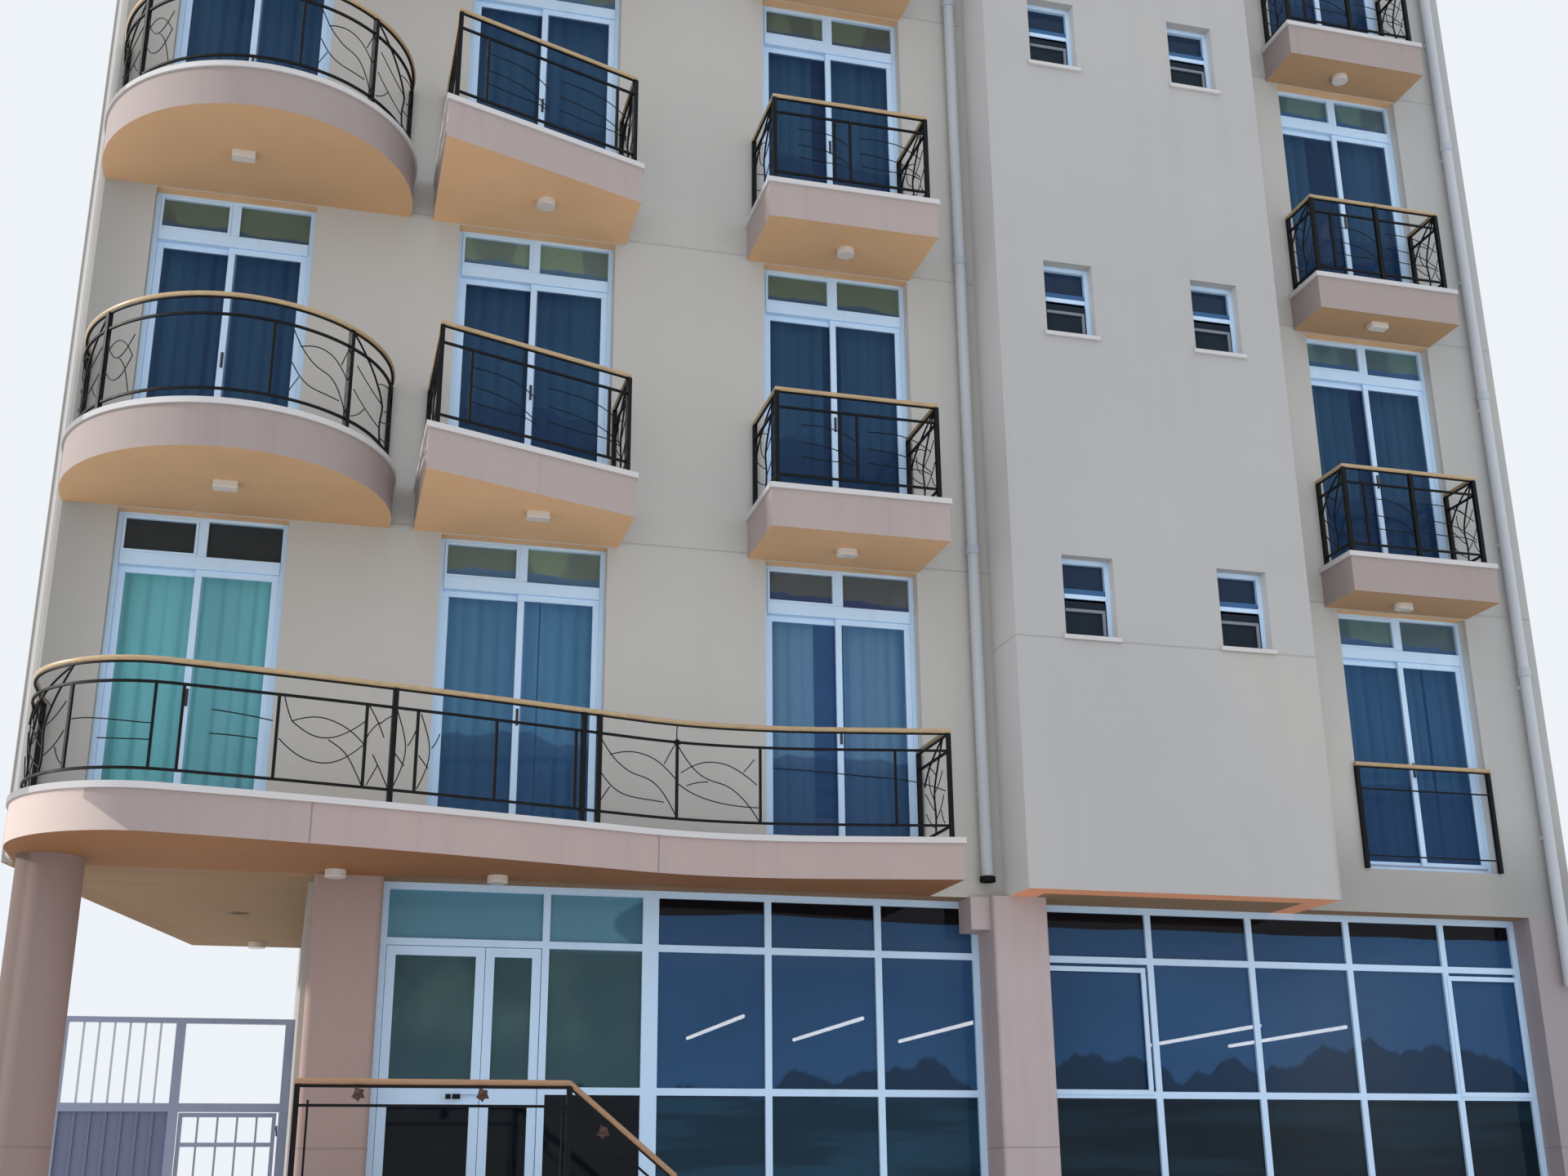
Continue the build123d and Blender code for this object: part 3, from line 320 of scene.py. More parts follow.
def wall_render(name, colour, hairlines=(), low_under=None, high_under=None, side=1.0):
    """Painted cement render: fine grain, mottling, streaks, hairline joints, own paints underneath, and
    painted light and shade.
    """
    p = Paint(name, Roughness=0.86, Specular_IOR_Level=0.25)
    broad = p.noise(0.4, 4.0)
    cloud = p.noise(2.2, 5.0)
    streak = p.streaks(5.0, 0.22)
    p.tone = p.mix(p.ramp(broad, 0.3, 0.7), shade(colour, 0.965), shade(colour, 1.025))
    p.coat(cloud * 0.35, shade(colour, 0.95))
    p.coat(p.ramp(broad, 0.55, 0.75) * 0.25, shade(linear(214, 202, 178), 0.8))
    front = p.y < FACE + 0.05
    # Painted shade: the front grows darker towards its left corner
    p.coat((1.0 - p.across(0.0, 0.9)) * front * 0.8, shade(colour, 0.6))
    # Painted shade on the front: darker low down right of RIGHT_END, and darker and bluer towards the right
    # end
    right = p.across(RIGHT_END - 0.1, RIGHT_END) * front
    p.coat(right * (1.0 - p.ramp(p.z, 3.7, 4.7)) * 0.75, shade(colour, 0.6))
    p.coat(right * p.across(13.3, 13.8), p.tone * (0.86, 0.88, 0.91))
    p.coat(streak * 0.10, shade(colour, 0.72))
    under_top = p.ramp(p.z, WALL_TOP - 1.2, WALL_TOP)
    p.coat(under_top * streak * 0.4, shade(colour, 0.6))
    foot = 1.0 - p.ramp(p.z, 0.0, 0.5)
    p.coat(foot * 0.35, shade(colour, 0.55))
    height = p.noise(70.0, 6.0, roughness=0.7) * 0.6 + p.noise(9.0, 3.0) * 0.4
    for level in hairlines:
        line = p.stripe(p.z, level, HAIRLINE)
        p.coat(line * 0.35, shade(colour, 0.5))
        height = height - line * 1.2
    # Painted light and shade: faces that look left are made lighter or darker by the side factor, and darker
    # near the left corner
    side_light_factor = p.mix(p.right_of(0.3), (0.7, 0.7, 0.7, 1.0), (side, side, side, 1.0))
    p.coat(p.side("X", -1.0), p.tone * side_light_factor)
    below = p.side("Z", -1.0)
    low = p.z < FIRST_FLOOR
    for mask, under in ((below * low, low_under), (below * (1.0 - low), high_under)):
        if under:
            p.coat(mask, p.mix(cloud, shade(under, 0.9), shade(under, 1.1)))
    p.relief(height, 0.0035, 0.7)
    return p.done()


def pier_render(name, colour):
    """Painted render of the three front piers: pink on the left, darker there as painted shade of the
    overhang, paler in the middle, greyer on the right.
    """
    p = Paint(name, Roughness=0.84, Specular_IOR_Level=0.25)
    # Left of the middle the ground colour stays darker: painted shade of the overhang
    p.tone = p.mix(p.across(6.0, 6.1), colour, linear(192, 180, 181))
    p.coat(p.across(11.0, 11.1), linear(156, 151, 158))
    p.coat(p.noise(1.5, 5.0) * 0.5, shade(colour, 0.9))
    p.coat(p.streaks(6.0, 0.3) * 0.12, shade(colour, 0.6))
    line = p.stripe(p.z, PIER_LINE, HAIRLINE)
    p.coat(line * 0.4, shade(colour, 0.5))
    p.relief(p.noise(70.0, 6.0, roughness=0.7) - line, 0.003, 0.6)
    return p.done()


def balcony_render(name, side, soffit, joints=(), sunlit_patch=False):
    """Smooth pinkish render with upright joints and an optional painted sunlit patch with painted shade
    beside it, ochre paint underneath, tiles on top.
    """
    p = Paint(name, Roughness=0.78, Specular_IOR_Level=0.3)
    cloud = p.noise(1.6, 5.0)
    p.tone = p.mix(cloud, shade(side, 0.94), shade(side, 1.05))
    p.coat(p.streaks(9.0, 0.5, 3.0, 0.52) * 0.22, shade(side, 0.7))
    for x in joints:
        p.coat(p.stripe(p.x, LEFT + x, HAIRLINE) * 0.6, shade(side, 0.4))
    if sunlit_patch:
        # Painted sunlight on the left end of the face, bounded by a slanting and an upright shadow edge;
        # beside it painted shade that lightens to the right
        slant = p.ramp(LEFT + 6.19 - p.x - p.z * 1.44, 0.0, 0.03)
        upright = p.ramp(LEFT + 0.72 - p.x, 0.0, 0.02)
        pale = p.tone * (1.38, 1.35, 1.3)
        p.tone = p.mix(p.across(1.0, 3.2), p.tone * (0.9, 0.88, 0.9), p.tone * (1.08, 1.02, 1.03))
        p.coat(either(slant, upright), pale)
    right = p.right_of(RIGHT_END)
    p.coat(right, p.tone * (0.88, 0.88, 0.88))
    under = p.mix(p.noise(1.1, 4.0), shade(soffit, 0.9), shade(soffit, 1.08))
    under = p.mix(right, under, under * (0.66, 0.66, 0.66))
    drip = p.ramp(p.noise(0.9, 4.0), 0.55, 0.8) * 0.2
    p.coat(p.side("Z", -1.0), p.mix(drip, under, shade(soffit, 0.6)))
    tile = linear(172, 160, 148)
    tiled = p.mix(cloud, shade(tile, 0.92), shade(tile, 1.06))
    tiled = p.mix(either(p.joints(p.x, TILE), p.joints(p.y, TILE)), tiled, shade(tile, 0.5))
    p.coat(p.side("Z", 1.0), tiled)
    p.relief(p.noise(60.0, 4.0) * 0.5 + cloud * 0.5, 0.002, 0.6)
    return p.done()


def iron_paint(name, colour=linear(7, 8, 12)):
    """Satin paint on forged iron: soft hammered relief, dust on what faces up."""
    p = Paint(name, Specular_IOR_Level=0.2)
    dust = p.ramp(p.facing("Z"), 0.5, 1.0) * p.noise(14.0, 4.0)
    p.tone = p.mix(dust * 0.15, colour, linear(88, 84, 80))
    p.relief(p.noise(45.0, 3.0), 0.001, 0.5)
    return p.done(Roughness=0.42 + p.noise(30.0, 3.0) * 0.25)


def varnished_wood(name, colour):
    """Turned golden wood: grain along the rail, darker streaks, a lighter top as a painted highlight."""
    p = Paint(name, Roughness=0.35, Specular_IOR_Level=0.5, Coat_Weight=0.25, Coat_Roughness=0.2)
    grain = p.noise(1.0, 6.0, (6.0, 60.0, 60.0), 0.6)
    p.tone = p.mix(grain, shade(colour, 0.6), shade(colour, 1.3))
    knots = p.ramp(p.noise(3.0, 3.0), 0.55, 0.75)
    p.coat(knots * 0.35, shade(colour, 0.45))
    # Painted highlight: the top of the rail is made lighter
    top_highlight = p.ramp(p.facing("Z"), 0.5, 1.0)
    p.coat(top_highlight * 0.4, shade(colour, 1.7))
    p.relief(grain, 0.0008, 0.5)
    return p.done()


def powder_coat(name, colour, roughness=0.38):
    """Powder-coated aluminium: even colour, faint orange peel, a little grime in streaks."""
    p = Paint(name, Roughness=roughness, Specular_IOR_Level=0.5)
    grime = p.streaks(7.0, 0.6)
    p.tone = p.mix(p.noise(1.3, 3.0), shade(colour, 0.96), shade(colour, 1.03))
    p.coat(grime * 0.16, shade(colour, 0.6))
    p.relief(p.noise(220.0, 2.0), 0.0004, 0.4)
    return p.done(Roughness=roughness + grime * 0.2)


def glass_paint(name):
    """What all the glass starts from."""
    return Paint(name, Roughness=0.05, Specular_IOR_Level=0.2, IOR=1.45)


def tinted_glass(name, colour, clear):
    """Tinted sheet glass that shows what stands behind it, with faint dust."""
    p = glass_paint(name)
    dust = p.ramp(p.noise(2.4, 5.0), 0.45, 0.8)
    p.tone = p.mix(p.noise(0.8, 3.0), shade(colour, 0.85), shade(colour, 1.15))
    return p.done(Alpha=clear + dust * 0.08, Roughness=0.03 + dust * 0.08)


def door_glass(name):
    """Blue film on the sashes, lighter and greener on the first floor, with dark shapes mirrored in it."""
    p = glass_paint(name)
    cloud = p.noise(0.9, 3.0)
    p.tone = p.mix(cloud, linear(32, 62, 104), linear(44, 76, 120))
    first_floor = p.mix(p.right_of(LAST_DOOR_START), linear(73, 118, 176), linear(46, 88, 140))
    first_floor = p.mix(p.left_of(FIRST_DOOR_END), first_floor, linear(110, 192, 200))
    p.coat(p.z < FLOORS[1] - 0.5, first_floor)
    p.coat(p.streaks(3.0, 0.15, 3.0, 0.4, 0.7) * 0.3, linear(60, 104, 134))
    shapes = 0.7 + p.noise(1.0, 2.0, (2.2, 2.2, 0.1)) * 0.3
    mirrored = p.ramp(shapes - p.above_floor(), 0.0, 0.03) * p.right_of(FIRST_DOOR_END)
    p.coat(mirrored * 0.6, linear(26, 52, 92))
    return p.done(Alpha=0.3 + mirrored * 0.2, Roughness=0.04 + cloud * 0.05)


def top_glass(name):
    """Olive and grey top lights that mirror the balcony above and a band of sky-blue beneath it."""
    p = glass_paint(name)
    patch = p.ramp(p.noise(1.0, 1.0, (1.7, 1.7, 0.6)), 0.45, 0.5)
    p.tone = p.mix(patch, linear(92, 101, 96), linear(106, 120, 106))
    edge = p.above_floor() + p.noise(1.0, 2.0, (2.5, 2.5, 0.4)) * 0.16
    p.coat(1.0 - p.ramp(edge, TOP_LIGHT + 0.15, TOP_LIGHT + 0.17), linear(74, 98, 124))
    p.coat(p.right_of(LAST_DOOR_START), p.tone * (0.9, 1.2, 1.6))
    p.coat(p.right_of(FIRST_DOOR_END) * p.left_of(SECOND_DOOR_END), p.tone * (1.5, 1.65, 1.65))
    first_floor = p.z < FLOORS[1]
    third_door = p.right_of(SECOND_DOOR_END) * p.left_of(LAST_DOOR_START)
    p.coat(third_door * first_floor, p.tone * (0.8, 0.72, 1.0))
    p.coat(p.left_of(FIRST_DOOR_END) * first_floor, linear(58, 64, 68))
    return p.done(Alpha=0.78, Roughness=0.04 + patch * 0.03)


def shop_glass(name):
    """Dark blue glass, teal over the entrance, near-black along its top edge and in its lowest row, with
    painted reflections of pale shapes and dark hills.
    """
    p = glass_paint(name)
    cloud = p.noise(0.5, 3.0, (1.0, 1.0, 1.6))
    level = p.noise(1.0, 4.0, (0.5, 0.5, 5.0))
    p.tone = p.mix(cloud, linear(34, 72, 110), linear(52, 94, 138))
    edge = p.z + p.noise(0.6, 2.0, (1.0, 1.0, 0.0)) * 0.12
    p.coat(p.ramp(edge, 3.42, 3.43), linear(8, 9, 18))
    low = 1.0 - p.ramp(p.z, LOW_ROW - 0.05, LOW_ROW + 0.05)
    p.coat(low, p.mix(p.ramp(level, 0.45, 0.6), linear(16, 48, 64), linear(38, 76, 98)))
    door = p.left_of(ENTRANCE_END)
    upper = p.mix(cloud, linear(40, 66, 72), linear(66, 98, 108))
    # Painted reflection of pale shapes in the entrance glass
    mirrored = p.ramp(p.noise(1.0, 3.0, (1.3, 1.3, 1.1)), 0.45, 0.7) * p.ramp(p.z, 2.1, 2.5)
    upper = p.mix(mirrored * 0.35, upper, linear(104, 136, 130))
    p.coat(door * (p.z > LOW_ROW), upper)
    arcs = p.ramp(p.noise(0.5, 1.0, (1.0, 1.0, 2.0)), 0.48, 0.5)
    over = p.mix(arcs, linear(70, 118, 144), linear(98, 150, 172))
    p.coat(door * p.ramp(p.z, 3.0, 3.1), over)
    # Painted reflection of dark hills low in the glass
    rise = p.noise(1.0, 4.0, (1.1, 1.1, 0.2)) * 1.5 + p.right_of(MIDDLE_PIER) * 0.25
    hills = p.ramp(rise + 1.22 - p.z, 0.0, 0.05)
    p.coat(hills * 0.65, linear(12, 28, 40))
    left_row = p.mix(door, (1.3, 1.7, 1.8, 1.0), (0.3, 0.2, 0.2, 1.0))
    p.coat(low, p.tone * p.mix(p.left_of(MIDDLE_PIER), (0.65, 0.8, 0.8, 1.0), left_row))
    return p.done(Alpha=0.84, Roughness=0.03 + cloud * 0.05)


def woven_cloth(name, colour):
    """Curtain cloth: fine weave, broad bands, painted shade deep in the folds."""
    p = Paint(name, Roughness=0.9, Specular_IOR_Level=0.2, Sheen_Weight=0.2)
    weave = p.noise(1.0, 2.0, (260.0, 260.0, 260.0))
    p.tone = p.mix(p.noise(1.0, 3.0, (5.0, 5.0, 0.4)), shade(colour, 0.8), shade(colour, 1.2))
    # Painted shade: darker where the cloth lies deep in a fold
    fold_shade = p.ramp(p.y, FACE + CURTAIN_LINE + 0.001, FACE + CURTAIN_LINE + 0.019)
    p.coat(fold_shade * (0.45 + p.left_of(FIRST_DOOR_END) * 0.4), shade(colour, 0.15))
    p.coat(weave * 0.25, shade(colour, 0.7))
    p.relief(weave, 0.0006, 0.5)
    return p.done()


def concrete_paint(name, colour, stains=()):
    """Painted concrete soffits and floors, with board marks and round damp stains."""
    p = Paint(name, Roughness=0.8, Specular_IOR_Level=0.3)
    p.tone = p.mix(p.noise(0.7, 5.0), shade(colour, 0.88), shade(colour, 1.08))
    boards = p.ramp(p.noise(1.0, 4.0, (0.5, 11.0, 1.0)), 0.45, 0.65)
    p.coat(boards * 0.4, shade(colour, 0.78))
    for x, y, radius in stains:
        flat = (p.place - at(x, y, 0.0)) * (1, 1, 0)
        far = p.node("ShaderNodeVectorMath", {"operation": "LENGTH"}, {0: flat}, "Value")
        spot = 1.0 - p.ramp(far + p.noise(9.0, 4.0) * radius * 0.8, radius * 0.7, radius * 1.3)
        p.coat(spot * 0.85, shade(colour, 0.2))
    p.relief(p.noise(35.0, 5.0), 0.002, 0.6)
    return p.done()


# Pieces
def add_block(mesh, x0, x1, y0, y1, z0, z1, bevel=0.0):
    """A block between two corners, counted as in at(), with its edges eased."""
    low = at(min(x0, x1), min(y0, y1), min(z0, z1))
    high = at(max(x0, x1), max(y0, y1), max(z0, z1))
    place = Matrix.Translation((low + high) / 2) @ Matrix.Diagonal((*(high - low), 1.0))
    made = bmesh.ops.create_cube(mesh, size=1.0, matrix=place)
    if bevel:
        edges = list({edge for vertex in made["verts"] for edge in vertex.link_edges})
        bmesh.ops.bevel(mesh, geom=edges, offset=bevel, offset_type="OFFSET", segments=2, profile=0.5,
                        affect="EDGES", material=-1, clamp_overlap=True)


def place_piece(name, data, material, body="building"):
    """Puts a finished mesh in the scene, on its body and in its material slot."""
    if isinstance(data, bmesh.types.BMesh):
        mesh = bpy.data.meshes.new(name)
        data.to_mesh(mesh)
        data.free()
    else:
        mesh = data
    mesh.materials.clear()
    mesh.materials.append(material)
    piece = bpy.data.objects.new(name, mesh)
    bpy.context.scene.collection.objects.link(piece)
    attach(piece, body)
    return piece


def paint_nodes(material, *names):
    """Gives CAD nodes a finish."""
    for name in names:
        slots = nodes[name].data.materials
        slots.clear()
        slots.append(material)


def rods(name, runs, radius, material, sides=2):
    """Round rods along smooth runs of points, as one mesh."""
    curve = bpy.data.curves.new(name, "CURVE")
    curve.dimensions = "3D"
    curve.bevel_depth = radius
    curve.bevel_resolution = sides
    curve.use_fill_caps = True
    curve.resolution_u = 5
    for run in runs:
        spline = curve.splines.new("NURBS")
        spline.points.add(len(run) - 1)
        for point, place in zip(spline.points, run):
            point.co = (*place, 1.0)
        spline.order_u = min(4, len(run))
        spline.use_endpoint_u = True
    drawn = bpy.data.objects.new(name, curve)
    bpy.context.scene.collection.objects.link(drawn)
    bpy.context.view_layer.update()
    mesh = bpy.data.meshes.new_from_object(drawn.evaluated_get(bpy.context.evaluated_depsgraph_get()))
    bpy.data.objects.remove(drawn)
    place_piece(name, mesh, material)


# Plan lines of the railings
def add_arc(points, tangent, end, steps=24):
    """Continues a plan line to an end by the arc that leaves along the tangent; returns the tangent there."""
    start = points[-1]
    chord = end - start
    across = Vector((-tangent.y, tangent.x))
    turn = 2 * math.atan2(chord.dot(across), chord.dot(tangent))
    centre = start + across * (chord.length_squared / (2 * chord.dot(across)))
    for step in range(1, steps + 1):
        points.append(centre + Matrix.Rotation(turn * step / steps, 2) @ (start - centre))
    return Matrix.Rotation(turn, 2) @ tangent


class PlanLine:
    """A railing's line in plan, from the wall round to the wall, moved in from the slab's edge."""

    def __init__(self, points):
        self.points = []
        tangents = [(b - a).normalized() for a, b in zip(points, points[1:])]
        for n, point in enumerate(points):
            before = tangents[max(n - 1, 0)]
            after = tangents[min(n, len(tangents) - 1)]
            side = Vector((-before.y - after.y, before.x + after.x)).normalized()
            across = Vector((-after.y, after.x))
            self.points.append(point + side * (RAIL_INSET / max(side.dot(across), 0.3)))
        self.marks = [0.0]
        for a, b in zip(self.points, self.points[1:]):
            self.marks.append(self.marks[-1] + (b - a).length)
        self.length = self.marks[-1]

    def at(self, distance, height):
        """The place at a distance along the line and a height above the ground."""
        n = 0
        while n < len(self.marks) - 2 and self.marks[n + 1] < distance:
            n += 1
        part = (distance - self.marks[n]) / (self.marks[n + 1] - self.marks[n])
        point = self.points[n].lerp(self.points[n + 1], part)
        return at(point.x, point.y, height)


def long_line():
    """The waved line of the first-floor balcony."""
    points = [Vector((0.095, 0.0)), Vector((0.095, -0.56))]
    tangent = Vector((0.0, -1.0))
    for end in ((1.25, -1.535), (3.4, -1.09), (4.9, -0.7), (5.75, -0.59), (6.5, -0.66)):
        tangent = add_arc(points, tangent, Vector(end))
    return PlanLine(points + [Vector((7.69, -0.88)), Vector((7.69, 0.0))])


def round_line():
    """The round balcony's line."""
    x, y, radius = 1.44, -0.15, 1.35
    reach = math.sqrt(radius ** 2 - y ** 2)
    start = Vector((x - reach, 0.0))
    points = [start]
    arm = start - Vector((x, y))
    tangent = Vector((-arm.y, arm.x)).normalized()
    add_arc(points, tangent, Vector((x, y - radius)))
    add_arc(points, Vector((1.0, 0.0)), Vector((x + reach, 0.0)))
    return PlanLine(points)


def four_point_line(x0, x1, out_left, out_right):
    """A straight-sided balcony's line."""
    return PlanLine([Vector((x0, 0.0)), Vector((x0, -out_left)), Vector((x1, -out_right)), Vector((x1, 0.0))])


# Finishes of the carried-over nodes
class HotelColours(bpy.types.PropertyGroup):
    """Colours of the building's finishes."""

    walls: FloatVectorProperty(name="Walls", description="Painted render", subtype="COLOR", size=4,
                               default=linear(190, 188, 183))
    bay: FloatVectorProperty(name="Bay", description="Painted render of the bay", subtype="COLOR", size=4,
                             default=linear(182, 181, 180))
    ground: FloatVectorProperty(name="Ground storey", description="Piers, column and plinth", subtype="COLOR",
                                size=4, default=linear(170, 148, 142))
    balconies: FloatVectorProperty(name="Balconies", description="Faces of the balconies", subtype="COLOR",
                                   size=4, default=linear(174, 160, 156))
    soffits: FloatVectorProperty(name="Soffits", description="Undersides of the balconies", subtype="COLOR",
                                 size=4, default=linear(230, 186, 142))
    frames: FloatVectorProperty(name="Frames", description="Window and door frames", subtype="COLOR", size=4,
                                default=linear(200, 228, 255))
    rails: FloatVectorProperty(name="Handrails", description="Varnished wood", subtype="COLOR", size=4,
                               default=linear(184, 157, 118))


class HOTEL_OT_wall_finishes(bpy.types.Operator):
    """Paints the walls, floors and copings"""

    bl_idname = "hotel.wall_finishes"
    bl_label = "Wall finishes"

    def execute(self, context):
        colours = context.scene.hotel_colours
        slabs = [floor - SLAB_LINE for floor in FLOORS[1:]]
        brown = linear(150, 122, 94)
        # Faces of these walls that look left are painted lighter as painted sunlight, and darker near the
        # left corner as painted shade
        walls = wall_render("cream_render", colours.walls, slabs, brown, colours.soffits, 1.25)
        paint_nodes(walls, "front_wall_left", "front_wall_right", "right_wall")
        # Faces of these sunlit walls that look left are painted darker: painted shade
        sunny = wall_render("sunny_render", colours.walls, slabs, brown, side=0.7)
        paint_nodes(sunny, "skewed_left_wall", "rear_left_wall", "passage_wall", "overhang_rear_wall",
                    "rear_wall")
        sills = (FLOORS[0] + SILL_LINE,)
        # The bay's faces that look left are painted lighter: painted bounce light
        bay = wall_render("bay_render", colours.bay, sills, linear(254, 176, 133), side=1.5)
        paint_nodes(bay, "bay_front_wall", "bay_side_walls")
        stains = (1.28, 0.04, 0.12), (1.75, 2.31, 0.15)
        paint_nodes(concrete_paint("passage_soffit", linear(152, 124, 94), stains), "first_floor_slab")
        plain = concrete_paint("painted_concrete", linear(196, 190, 180))
        paint_nodes(plain, "ground_floor_slab", "upper_floor_slabs", "roof_slab")
        edging = wall_render("pale_edging", linear(206, 204, 204))
        paint_nodes(edging, "balcony_copings", "window_sills", "roof_coping")
        return {"FINISHED"}


class HOTEL_OT_ground_finishes(bpy.types.Operator):
    """Paints the column, piers, plinth, landing and steps"""

    bl_idname = "hotel.ground_finishes"
    bl_label = "Ground storey finishes"

    def execute(self, context):
        ground = context.scene.hotel_colours.ground
        # The column and plinth take a darker copy of the ground colour: painted shade
        pink = wall_render("pink_render", shade(ground, 0.88), (PIER_LINE,))
        paint_nodes(pink, "round_column", "front_plinth")
        paint_nodes(pier_render("pier_render", ground), "front_piers")
        landing = concrete_paint("landing_concrete", linear(170, 156, 144))
        paint_nodes(landing, "entrance_platform", "entrance_steps")
        return {"FINISHED"}


class HOTEL_OT_balcony_finishes(bpy.types.Operator):
    """Paints the balconies, their railings and lamps"""

    bl_idname = "hotel.balcony_finishes"
    bl_label = "Balcony finishes"

    def execute(self, context):
        colours = context.scene.hotel_colours
        side, soffit = colours.balconies, colours.soffits
        angled = balcony_render("balcony_render", side, soffit, (2.02, 7.12))
        paint_nodes(angled, "angled_balcony_slabs")
        square = balcony_render("square_balcony_render", side, shade(soffit, 0.88))
        paint_nodes(square, "square_balcony_slabs")
        # The round balconies take darker copies of the balcony colours: painted shade
        rounded = balcony_render("round_balcony_render", shade(side, 0.84), shade(soffit, 0.84))
        paint_nodes(rounded, "round_balcony_slabs")
        # The long balcony gets the painted sunlit patch at its left end
        lowest = balcony_render("long_balcony_render", side, linear(150, 104, 68), (2.31, 5.1), True)
        paint_nodes(lowest, "long_balcony_slab")
        paint_nodes(iron_paint("black_iron"), "long_balcony_railing", "round_balcony_railings",
                    "angled_balcony_railings", "middle_balcony_railings", "end_balcony_railings",
                    "juliet_railing", "entrance_railing")
        paint_nodes(varnished_wood("rail_wood", colours.rails), "balcony_handrails")
        paint_nodes(varnished_wood("entrance_wood", linear(164, 126, 94)), "entrance_handrail")
        paint_nodes(powder_coat("lamp_opal", linear(214, 206, 198), 0.25), "ceiling_lights")
        return {"FINISHED"}


class HOTEL_OT_opening_finishes(bpy.types.Operator):
    """Paints the frames and tints the glass"""

    bl_idname = "hotel.opening_finishes"
    bl_label = "Frames and glass"

    def execute(self, context):
        frames = powder_coat("white_frames", context.scene.hotel_colours.frames)
        paint_nodes(frames, "small_window_frames", "rear_window_frames", "left_shopfront_frame",
                    "right_shopfront_frame", "wide_door_leaf", "narrow_door_leaf")
        blue = tinted_glass("blue_glass", linear(36, 56, 82), 0.8)
        paint_nodes(blue, "rear_window_glass", "small_window_glass")
        paint_nodes(shop_glass("shop_glass"), "shopfront_glass", "wide_door_glass", "narrow_door_glass")
        return {"FINISHED"}


def add_ring(mesh, x0, x1, y0, y1, z0, z1, bar, bevel=EDGE):
    """A frame of four bars; the upright ones stand between the level ones."""
    add_block(mesh, x0, x1, y0, y1, z0, z0 + bar, bevel)
    add_block(mesh, x0, x1, y0, y1, z1 - bar, z1, bevel)
    add_block(mesh, x0, x0 + bar, y0, y1, z0 + bar, z1 - bar, bevel)
    add_block(mesh, x1 - bar, x1, y0, y1, z0 + bar, z1 - bar, bevel)


class HOTEL_OT_balcony_doors(bpy.types.Operator):
    """Makes the balcony doors: frames with a vent and a fixed top light, sliding sashes and their glass"""

    bl_idname = "hotel.balcony_doors"
    bl_label = "Balcony doors"

    def execute(self, context):
        frames, sashes, panes, lights = bmesh.new(), bmesh.new(), bmesh.new(), bmesh.new()
        for x, width in DOORS:
            for floor in FLOORS:
                self.frame(frames, lights, x, x + width, floor)
                middle = x + width / 2
                start, end = x + DOOR_BAR, x + width - DOOR_BAR
                self.sash(sashes, panes, start, middle + SASH_LAP, DOOR_FACE + BACK_SASH, floor)
                self.sash(sashes, panes, middle - SASH_LAP, end, DOOR_FACE + FRONT_SASH, floor)
        white = powder_coat("door_white", context.scene.hotel_colours.frames)
        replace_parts(place_piece("door_frames", frames, white), "balcony_door_frames")
        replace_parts(place_piece("door_sashes", sashes, white), "sliding_sashes")
        film = door_glass("door_glass")
        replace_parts(place_piece("door_panes", panes, film), "balcony_door_glass")
        olive = top_glass("top_glass")
        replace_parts(place_piece("top_lights", lights, olive), "balcony_door_glass")
        return {"FINISHED"}

    def frame(self, frames, lights, x0, x1, floor):
        """The outer frame, the transom, the mullion between the top lights, and the left one's vent."""
        top = floor + DOOR_HEIGHT
        low, high = floor + TOP_LIGHT, top - HEAD_BAR
        left, right = x0 + DOOR_BAR, x1 - DOOR_BAR
        vent_end, light_start = (x0 + x1) / 2 - HALF_MULLION, (x0 + x1) / 2 + HALF_MULLION
        for a, b in ((x0, left), (right, x1)):
            add_block(frames, a, b, DOOR_FACE, DOOR_BACK, floor, top, EDGE)
        add_block(frames, left, right, DOOR_FACE, DOOR_BACK, floor, floor + DOOR_BAR, EDGE)
        add_block(frames, left, right, DOOR_FACE, DOOR_BACK, high, top, EDGE)
        transom = DOOR_FACE - TRANSOM_PROUD
        add_block(frames, left, right, transom, DOOR_BACK, floor + SASH_TOP, low, 1.5 * EDGE)
        add_block(frames, vent_end, light_start, DOOR_FACE, DOOR_BACK, low, high, EDGE)
        glass = DOOR_FACE + SASH_DEPTH
        add_ring(frames, left, vent_end, DOOR_FACE - VENT_PROUD, glass, low, high, VENT_BAR)
        add_block(lights, left + VENT_BAR, vent_end - VENT_BAR, glass - PANE, glass,
                  low + VENT_BAR, high - VENT_BAR)
        add_block(lights, light_start, right, glass + 0.01, glass + 0.01 + PANE, low, high)

    def sash(self, sashes, panes, x0, x1, y, floor):
        """One sliding sash and its pane."""
        low, high = floor + DOOR_BAR, floor + SASH_TOP
        add_ring(sashes, x0, x1, y, y + SASH_DEPTH, low, high, SASH_BAR)
        glass = y + 0.011
        add_block(panes, x0 + SASH_BAR, x1 - SASH_BAR, glass, glass + PANE, low + SASH_BAR, high - SASH_BAR)


class HOTEL_OT_metalwork_finishes(bpy.types.Operator):
    """Paints the gate and the downpipes"""

    bl_idname = "hotel.metalwork_finishes"
    bl_label = "Gate and pipes"

    def execute(self, context):
        gate = powder_coat("gate_paint", linear(150, 159, 186), 0.45)
        paint_nodes(gate, "gate_frame", "gate_leaf")
        paint_nodes(powder_coat("bar_paint", linear(196, 204, 222), 0.45), "gate_bars")
        paint_nodes(powder_coat("sheet_paint", linear(114, 123, 152), 0.5), "gate_sheet")
        paint_nodes(powder_coat("pipe_paint", linear(188, 193, 198), 0.5), "downpipes")
        return {"FINISHED"}


